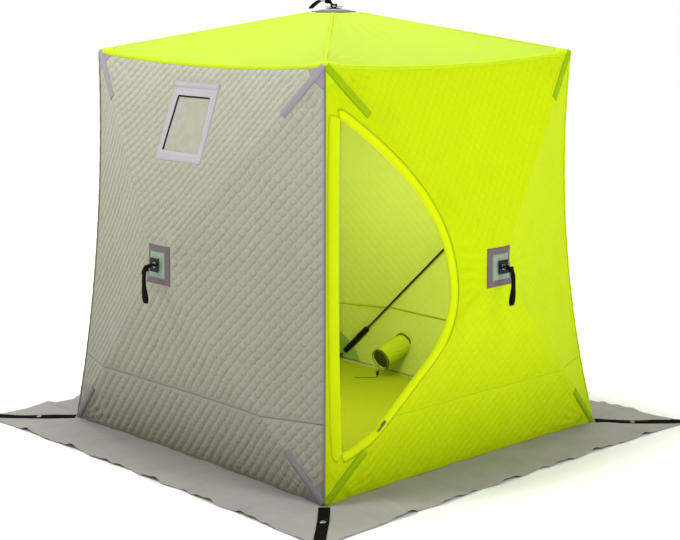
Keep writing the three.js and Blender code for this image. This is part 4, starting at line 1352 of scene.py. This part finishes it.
# Each strip's section round the doorway: distances out from the opening, and heights over the wall
BAND_SECTION = (
    (-0.0020, -0.0016, 0.0010, 0.0100, 0.0220, 0.0305, 0.0320, 0.0320, 0.0160, 0.0150),
    (-0.0075, 0.0002, 0.0012, 0.0015, 0.0015, 0.0012, 0.0002, -0.0014, -0.0016, -0.0078),
)
ROLL_SECTION = (
    (-0.0040, -0.0050, -0.0020, 0.0080, 0.0220, 0.0350, 0.0430, 0.0440, 0.0250, 0.0090),
    (-0.0085, -0.0030, 0.0024, 0.0060, 0.0064, 0.0046, 0.0010, -0.0016, -0.0050, -0.0095),
)
ZIP_SECTION = (
    (0.0325, 0.0330, 0.0352, 0.0372, 0.0378, 0.0352),
    (-0.0010, 0.0018, 0.0024, 0.0018, -0.0010, -0.0012),
)


def door():
    """The bound curved edge, the rolled upright edge and the zip beside the curved one."""
    curved, straight = door_edge()
    bowed = straight.copy()
    bowed[:, 0] += SIDE_BOW * np.sin(np.linspace(0, math.pi, len(straight)))
    for name, line, (offsets, heights), surface, slot in (
        ("door_band", curved, BAND_SECTION, "lime_band", "lime_quilt"),
        ("door_side_edge", bowed, ROLL_SECTION, "lime_plain", "lime_quilt"),
        ("door_zip", curved, ZIP_SECTION, "zip_coil", "zip_metal"),
    ):
        on_panel(edge_strip(name, line, offsets, heights, M[surface]), FRONT, slot)


FLAP_GAP = 0.006  # between the flap and its opening


def door_flap():
    """The door's own cloth, swung open into the room about its straight side."""
    outline = DOOR + unit(DOOR.mean(axis=0) - DOOR) * FLAP_GAP
    joint = JOINTS["door_swing"]

    def wave(x, z, far):
        return folds(FRONT, x, z, 9) * smoothstep(far, 0.0, 0.08)

    def top(x, z, a, b):
        far = inside_of(outline, x, z)[0]
        edge = smoothstep(far, 0.02, 0.035)
        return wave(x, z, far) - 0.0012 + PUFF * 0.7 * puffed(a, b) * edge, edge

    def foot(x, z, a, b):
        return wave(x, z, inside_of(outline, x, z)[0]) - CLOTH

    more = {"within": outline, "span": (-0.99, -0.1, -0.9, 0.9), "lining": M["lime_plain"]}
    obj = sheet_mesh("door_cloth", FRONT, (100, 150), top, foot, M["lime_quilt"], **more)
    turn = Matrix.Rotation(DOOR_OPEN, 4, Vector(joint["axis"]))
    pivot = Matrix.Translation(Vector(joint["pos_m"]))
    obj.data.transform(pivot @ turn @ pivot.inverted())
    fitted(obj, "lime_quilt", "door_flap", "door_flap")


# The window
WINDOW_SPAN = (-0.35, 0.3, 0.4, 0.95)  # the part of the left wall's grid that it lies in


def window_surround(pane):
    """The frame sewn round the pane, with a rolled strip along its head and a dark strip painted as the
    shadow along the pane's left and top edges.
    """
    outline = four_sided(FRAME)

    def top(x, z, a, b):
        far = inside_of(outline, x, z)[0]
        return 0.0004 + 0.0012 * smoothstep(far, 0.0, 0.004) + ruffle(x, z) * 0.35, np.zeros_like(x)

    more = {"within": outline, "hole": pane, "span": WINDOW_SPAN, "edge": outline}
    trim = M["window_trim"]
    surround = sheet_mesh("window_surround", LEFT, (84, 84), top, flat_foot(-0.004), trim, **more)
    on_panel(surround, LEFT, "grey_trim", "window_frame")
    head = FRAME[1] - 0.014
    half = FRAME[3] - 0.004
    line = np.stack([np.linspace(WINDOW_X - half, WINDOW_X + half, 60), np.full(60, head)], axis=1)
    on_panel(strip_on("window_head", LEFT, line, 6, 0.026, 0.0042, 0.0, trim, ruffle), LEFT, "grey_trim")
    # A dark strip painted as the shadow that the surround casts on the pane's left and top edges
    foot_left, _, top_right, top_left = four_sided(PANE, 0.002)
    upright, across = np.linspace(foot_left, top_left, 60), np.linspace(top_left, top_right, 60)
    line = np.vstack([upright[:-1], across])
    shadow = strip_on("window_shadow", LEFT, line, 4, 0.008, 0.0014, -0.004, M["window_edge"])
    on_panel(shadow, LEFT, "grey_trim")


def window():
    pane = pane_outline()
    window_surround(pane)

    def top(x, z, a, b):
        points = LEFT.at(x, z).reshape(-1, 3)
        creases = np.abs(wobble(points, 9.0, 4)).reshape(x.shape)
        far = inside_of(pane, x, z)[0]
        return -0.0035 + 0.009 * (0.4 - creases) * smoothstep(far, 0.0, 0.02), np.zeros_like(x)

    def foot(x, z, a, b):
        return top(x, z, a, b)[0] - 0.0009

    outer = four_sided(PANE, -0.006)
    more = {"within": outer, "span": WINDOW_SPAN}
    film = sheet_mesh("window_pane", LEFT, (110, 110), top, foot, M["film"], **more)
    on_panel(film, LEFT, "clear_film", "window_film")


# The vent
# A hem's section, as heights over the sleeve and places along it
HEM_SECTION = ((0, -0.007), (0.0016, -0.004), (0.0016, 0.004), (0, 0.007), (-0.003, 0.006), (-0.003, -0.006))


def vent_sleeve(start, direction, long):
    """The gathered cloth tube, with a thicker hem at each end."""
    side = direction.orthogonal().normalized()
    up = direction.cross(side)
    turns = circle(72)
    rings = []
    for share in np.arange(31) / 30:
        gather = 0.0016 * np.sin(turns * 17 + 4 * math.sin(share * 5)) * math.sin(share * math.pi)
        bulge = 0.002 * math.sin(share * math.pi)
        hem = 0.0022 if share > 0.93 or share < 0.06 else 0.0
        rings.append((VENT_RADIUS - 0.003 + gather + bulge + hem, share * long))
    inside = [(radius - 0.0022, along) for radius, along in reversed(rings)]
    rim = np.cos(turns)[:, None] * np.array(side) + np.sin(turns)[:, None] * np.array(up)
    sections = []
    for radius, along in rings + inside:
        radius = np.broadcast_to(radius, turns.shape)[:, None]
        sections.append(np.array(start) + rim * radius + np.array(direction) * along)
    sleeve = tidy_normals(plain_strip("vent_cloth", sections, M["vent_cloth"], closed=True))
    fitted(sleeve, "vent_fabric", "shell", "vent_sleeve")


def vent():
    start, far = RIGHT.turn @ VENT_FROM, RIGHT.turn @ VENT_TO
    direction = (RIGHT.turn @ (VENT_TO - VENT_FROM).normalized()).normalized()
    vent_sleeve(start, direction, (VENT_TO - VENT_FROM).length)
    net_radius = VENT_RADIUS - 0.0045
    profile = [(net_radius, -0.0006), (net_radius, 0.0006)]
    net = turned("vent_net", far - direction * 0.012, direction, profile, [M["net"]], 48)
    fitted(net, "vent_fabric", "shell")
    hems = ((far - direction * 0.006, VENT_RADIUS + 0.0006), (start + direction * 0.03, VENT_RADIUS + 0.0022))
    for number, (point, radius) in enumerate(hems):
        profile = [(radius + rise, along) for rise, along in HEM_SECTION]
        hem = turned(f"vent_hem_{number}", point, direction, profile, [M["vent_hem"]], 64, closed=True)
        fitted(hem, "vent_fabric", "shell")


def vent_tie():
    """The drawcord's two strands from the sleeve's hem down to its toggle."""
    low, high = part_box("vent_toggle")
    top = Vector(((low[0] + high[0]) / 2, (low[1] + high[1]) / 2, high[2]))
    hem = RIGHT.turn @ Vector((VENT_X, VENT_TO.y - 0.004, VENT_TO.z - VENT_RADIUS - 0.0005))
    strands = []
    for side in (-1, 1):
        apart = RIGHT.turn @ Vector((side * 0.004, 0, 0))
        points = [hem + apart * 2.5 + Vector((0, 0, 0.003)), hem.lerp(top, 0.5) + apart * 1.6]
        points += [top + apart * 0.5, top + apart * 0.4 - Vector((0, 0, 0.004))]
        strands.append(tube("strand", smooth_path(points, 6), CORD_RADIUS, M["cord"], 8))
    fitted(joined("vent_tie", strands), "cord_black", "shell")


# Hub fittings, pulls and rods
EYELET_SECTION = ((0.0088, 0.0036), (0.0094, 0.0049), (0.0108, 0.0052), (0.0122, 0.0046), (0.0128, 0.0036))


def hub_eyelet(panel):
    out = panel.turn @ Vector(panel.out())
    peak = panel.turn @ Vector(panel.peak)
    eyelet = turned(panel.name + "_eyelet", peak, out, EYELET_SECTION, [M["zinc"]], 40, closed=True)
    fitted(eyelet, "zip_metal", panel.name + "_hub_set")


LOOP_WIDE = 0.0215  # the webbing of the pulls
# Each pull's loop, as distances along it and out from its pin: up over the pin, down one side and back
WALL_PULL = (
    (0.0034, 0.0000), (-0.0030, -0.0034), (-0.0056, 0.0040), (-0.0030, 0.0180), (0.0040, 0.0330),
    (0.0190, 0.0440), (0.0450, 0.0490), (0.0800, 0.0505), (0.1150, 0.0520), (0.1420, 0.0500),
    (0.1590, 0.0450), (0.1640, 0.0400), (0.1590, 0.0355), (0.1420, 0.0340), (0.1150, 0.0385),
    (0.0800, 0.0450), (0.0450, 0.0440), (0.0200, 0.0390), (0.0085, 0.0290), (0.0050, 0.0150),
    (0.0046, 0.0040),
)
WALL_KNOT = (0.0060, 0.0330)
ROOF_PULL = (
    (0.0040, 0.0034), (-0.0034, 0.0000), (0.0040, -0.0030), (0.0200, 0.0110), (0.0450, 0.0230),
    (0.0700, 0.0272), (0.1000, 0.0255), (0.1300, 0.0150), (0.1550, 0.0040), (0.1650, 0.0035),
    (0.1600, 0.0090), (0.1320, 0.0230), (0.1000, 0.0330), (0.0700, 0.0330), (0.0450, 0.0275),
    (0.0200, 0.0150),
)
ROOF_KNOT = (0.0330, 0.0200)


def knot(heart, axis, along, over):
    """Two turns of webbing round the loop, crossed, and a short tail."""
    narrow = LOOP_WIDE / 2
    wraps = []
    for tilt, size, shift in ((0.35, 1.0, 0.0), (-0.4, 0.93, 0.004)):
        ring = []
        for turn in np.linspace(0, 2 * math.pi, 33):
            wide = narrow * 1.04 * size * math.cos(turn)
            deep = 0.0082 * size * math.sin(turn)
            ring.append(heart + axis * wide + over * deep + along * (wide * tilt + shift))
        wraps.append(ribbon("wrap", ring, along + over * 0.12, 0.015, 0.0026, M["webbing"], belly=0.3))
    tail = [heart + axis * 0.004 + over * 0.006, heart + along * 0.012 + axis * 0.007 + over * 0.0105]
    tail += [heart + along * 0.030 + axis * 0.010 + over * 0.0140]
    return [*wraps, ribbon("tail", smooth_path(tail, 6), axis, 0.016, 0.0018, M["webbing"])]


def pull(panel):
    """A doubled webbing loop through the staple, tied in a knot below it."""
    joint = JOINTS[panel.name + "_pull_swing"]
    pin = Vector(joint["pos_m"])
    axis = Vector(joint["axis"])
    if panel is ROOF:
        slope = math.radians(8)
        along = Vector((0, math.cos(slope), -math.sin(slope)))
        over = Vector((0, math.sin(slope), math.cos(slope)))
    else:
        along, over = Vector((0, 0, -1)), panel.turn @ Vector((0, -1, 0))
    rows, (far, rise) = (ROOF_PULL, ROOF_KNOT) if panel is ROOF else (WALL_PULL, WALL_KNOT)
    points = [pin + along * row[0] + over * row[1] for row in rows]
    loop = ribbon("loop", smooth_path(points, 6), axis, LOOP_WIDE, 0.0018, M["webbing"])
    obj = joined(panel.name + "_pull", [loop, *knot(pin + along * far + over * rise, axis, along, over)])
    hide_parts(panel.name + "_pull_strap")
    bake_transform(obj)


# A rod's turned shape, as radii, distances from its pin and surfaces: zinc, then glass fibre, then sleeve
FERRULE = (
    (0.0050, 0.007), (0.0056, 0.012), (0.0058, 0.020), (0.0070, 0.0215), (0.0070, 0.030),
    (0.0064, 0.032), (0.0070, 0.034), (0.0070, 0.070), (0.0064, 0.072), (0.0070, 0.0735),
    (0.0066, 0.0755), (0.0056, 0.0765, 1),
)
EYE = ((0.0030, -0.0052), (0.0070, -0.0054), (0.0079, -0.0046), (0.0079, 0.0046), (0.0070, 0.0054),
       (0.0030, 0.0052))
SLEEVE_FROM = 0.218  # the cloth sleeve's ends, back from the rod's tip
SLEEVE_TO = 0.006


def rod(joint):
    """A rod: its metal eye and ferrule, the glass fibre, and the cloth sleeve near its corner."""
    node = joint["child"]
    pin = Vector(joint["pos_m"])
    source = frame["nodes"][node]
    verts = np.array([source.matrix_world @ v.co for v in source.data.vertices])
    far = np.linalg.norm(verts - np.array(pin), axis=1)
    end = verts[far > far.max() - 0.002].mean(axis=0)
    way = Vector(end - np.array(pin)).normalized()
    long = float(np.max((verts - np.array(pin)) @ np.array(way)))
    foot, head = long - SLEEVE_FROM, long - SLEEVE_TO
    rows = [*FERRULE, (0.0056, foot - 0.002, 2), (0.0142, foot, 2)]
    for share in np.linspace(0.05, 0.95, 14):
        rows.append((0.0157 + 0.0008 * math.sin(share * 47), foot + (head - foot) * share, 2))
    rows += [(0.0142, head, 2), (0.0058, head + 0.002, 1), (0.0056, long - 0.002, 1), (0.0036, long, 1)]
    shaft = turned("shaft", pin, way, rows, [M["zinc"], M["glass_fibre"], M["sleeve"]], 20)
    eye = turned("eye", pin, joint["axis"], EYE, [M["zinc"]], 28, closed=True)
    fitted(joined(node + "_round", [shaft, eye]), "glass_fibre", node, node)


# The ground skirt and its straps
def ground_height(x, y):
    """How far the skirt's cloth stands off the ground: low, long waves that are highest along its edge."""
    reach = np.maximum(np.abs(x), np.abs(y))
    out = smoothstep(reach, BASE_HALF, SKIRT_HALF)
    along = np.where(np.abs(x) > np.abs(y), y * np.sign(x), -x * np.sign(y))
    side = np.where(np.abs(x) > np.abs(y), np.where(x > 0, 1.0, 2.3), np.where(y > 0, 3.1, 4.4))
    wave = np.sin(along * 19 + side * 5) * 0.5 + np.sin(along * 31 + side * 9 + 2 * reach) * 0.3
    fan = np.sin(along * 67 + side * 3 + reach * 8) * 0.25
    corner = smoothstep(np.minimum(np.abs(x), np.abs(y)), 0.86, 1.0)
    lift = np.maximum(wave + fan + 0.35, 0.0) * 0.015 * (0.3 + 0.7 * out)
    return 0.0006 + lift * (1 - 0.8 * corner)


def skirt_row(panel, side, share, rows):
    """Points from a wall's foot out to the skirt's edge, which wavers a little, at a share along the wall."""
    near = panel.rim(np.array(0), np.array(share)) + np.array([0, 0.004, 0])
    swing = 2 * share - 1
    edge_x = (SKIRT_HALF + SKIRT_CORNER_OUT) * swing
    waver = 0.006 * math.sin(share * 37 + side) + 0.004 * math.sin(share * 83 + 2 * side)
    middle = math.sin(math.pi * share)
    edge_y = -(SKIRT_HALF + SKIRT_CORNER_OUT * swing**4) + waver * middle * 0.8 + 0.006 * middle
    out = np.linspace(0, 1, rows)
    line = [near[0] + (edge_x - near[0]) * out, near[1] + (edge_y - near[1]) * out, np.zeros(rows)]
    return panel.placed(np.stack(line, axis=1))


def skirt():
    """A square ring of thin cloth lying on the ground, its outer edge a little wavy."""
    rows, columns = 26, 150
    points = []
    for side, panel in enumerate(WALLS):
        for share in np.linspace(0, 1, columns, endpoint=False):
            points.append(skirt_row(panel, side, share, rows))
    points = np.array(points)
    height = ground_height(points[..., 0], points[..., 1])
    hem = np.zeros_like(height)
    hem[:, -2:] = 0.0007
    upper, lower = points.copy(), points.copy()
    upper[..., 2] = height + 0.0012 + hem
    lower[..., 2] = height - 0.0004
    upper[:, 0, 2] += 0.004
    sections = np.concatenate([upper, lower[:, ::-1]], axis=1)
    across = np.linspace(0, 1, rows) * (SKIRT_HALF - BASE_HALF)
    along = np.arange(len(points)) * 2 * SKIRT_HALF / columns
    uv = cloth_map(along, np.concatenate([across, across[::-1]]))
    obj = tidy_normals(plain_strip("skirt_cloth", sections, M["skirt_cloth"], uv, closed=True))
    fitted(obj, "skirt_fabric", "shell", "ground_skirt")
    side = 2 * SKIRT_HALF


ANCHOR_SECTION = ((0.0062, -0.001), (0.0070, 0.0022), (0.0095, 0.0030), (0.0125, 0.0022), (0.0130, 0.0008),
                  (0.0120, -0.001))


def anchor_strap(corner, sx, sy):
    """A webbing strap out over the skirt's corner, with its end folded back and an eyelet in it."""
    shares = np.linspace(STRAP_INNER, STRAP_OUTER, 44)
    bend = 0.002 * np.sin((shares - STRAP_INNER) * 15 + sx + 2 * sy)
    x, y = shares * sx + bend * sy, shares * sy - bend * sx
    z = ground_height(x, y) + 0.0042 + 0.002 * np.sin((shares - STRAP_INNER) * 30 + sx)
    z[shares > SKIRT_HALF] = np.maximum(z[shares > SKIRT_HALF] - 0.002, 0.0025)
    side = np.array([sy, -sx, 0]) / math.sqrt(2)
    points = np.stack([x, y, z], axis=1)
    strap = ribbon("strap", points, side, STRAP_WIDE * 0.98, 0.0024, M["webbing"])
    hem = ribbon("hem", points[-9:] + (0, 0, 0.0026), side, STRAP_WIDE * 0.97, 0.0022, M["webbing"])
    fitted(joined(f"{corner}_strap", [strap, hem]), "black_webbing", "shell", f"anchor_strap_{corner}")
    nearest = int(np.argmin(np.abs(shares - EYELET_AT)))
    name = f"{corner}_eyelet"
    eyelet = turned(name, points[nearest], (0, 0, 1), ANCHOR_SECTION, [M["zinc"]], 36, closed=True)
    fitted(eyelet, "zip_metal", "shell")


CARRIED = {"hub": "plastic", "cap": "plastic", "slider": "slider", "toggle": "plastic"}


def carried_over():
    """The CAD nodes that stay get their own materials."""
    for name, obj in frame["nodes"].items():
        for word, surface in CARRIED.items():
            if word in name.split("_") and obj.type == "MESH":
                if not obj.material_slots:
                    obj.data.materials.append(M[surface])
                for slot in obj.material_slots:
                    slot.material = M[surface]


for panel in (*WALLS, ROOF):
    hub_patches(panel)
    hub_eyelet(panel)
    pull(panel)
for panel in WALLS:
    corner_pieces(panel)
    lap_seam(panel)
    inner_seam(panel)
    inner_corners(panel)
    roof_hem(panel)
for number in range(4):
    corner_piping(number)
roof_ridges()
door()
door_flap()
window()
vent()
vent_tie()
for joint in frame["joints"]:
    if joint["name"].endswith("_fold"):
        rod(joint)
skirt()
for corner, signs in zip(("front_left", "front_right", "back_right", "back_left"), CORNER_SIGNS):
    anchor_strap(corner, *signs)
carried_over()


# Studio
AREA_LIGHTS = (
    ("key", (0.0, -6.5, 5.2), (0, 0, 0.8), 3.5, 270, (1, 1, 1)),
    ("fill", (-4.6, 2.8, 7.0), (-0.8, 0, 0.8), 2.0, 350, (1, 1, 1)),
    ("top", (0.5, 1.0, 6.5), (0, 0, 0.8), 4.0, 260, (1, 1, 1)),
    ("inside_wall", (-0.25, -0.35, 1.35), (0.86, 0.35, 0.95), 0.5, 5.0, (1, 0.9, 0.86)),
)
INSIDE_GLOW = 26
WORLD_GLOW = 0.38


def light(name, kind, place, power, colour):
    data = bpy.data.lights.new(name, kind)
    data.energy = power
    data.color = colour
    lamp = bpy.data.objects.new(name, data)
    bpy.context.scene.collection.objects.link(lamp)
    lamp.location = place
    lamp.visible_camera = False
    return lamp


def studio():
    bpy.ops.mesh.primitive_plane_add(size=600, location=(0, 0, -0.002))
    floor = bpy.context.object
    floor.name = "studio_floor"
    floor.data.materials.append(floor_material())
    world = bpy.data.worlds.new("studio")
    world.use_nodes = True
    world.node_tree.nodes["Background"].inputs[0].default_value = (1, 1, 1, 1)
    world.node_tree.nodes["Background"].inputs[1].default_value = WORLD_GLOW
    bpy.context.scene.world = world
    for name, place, aim, size, power, colour in AREA_LIGHTS:
        lamp = light(name, "AREA", place, power, colour)
        lamp.data.size = size
        lamp.rotation_euler = (Vector(aim) - Vector(place)).to_track_quat("-Z", "Y").to_euler()
    lamp = light("inside", "POINT", (0.0, 0.0, 0.95), INSIDE_GLOW, (1.0, 0.87, 0.4))
    lamp.data.shadow_soft_size = 0.25
    bpy.context.scene.view_settings.view_transform = "Standard"


studio()
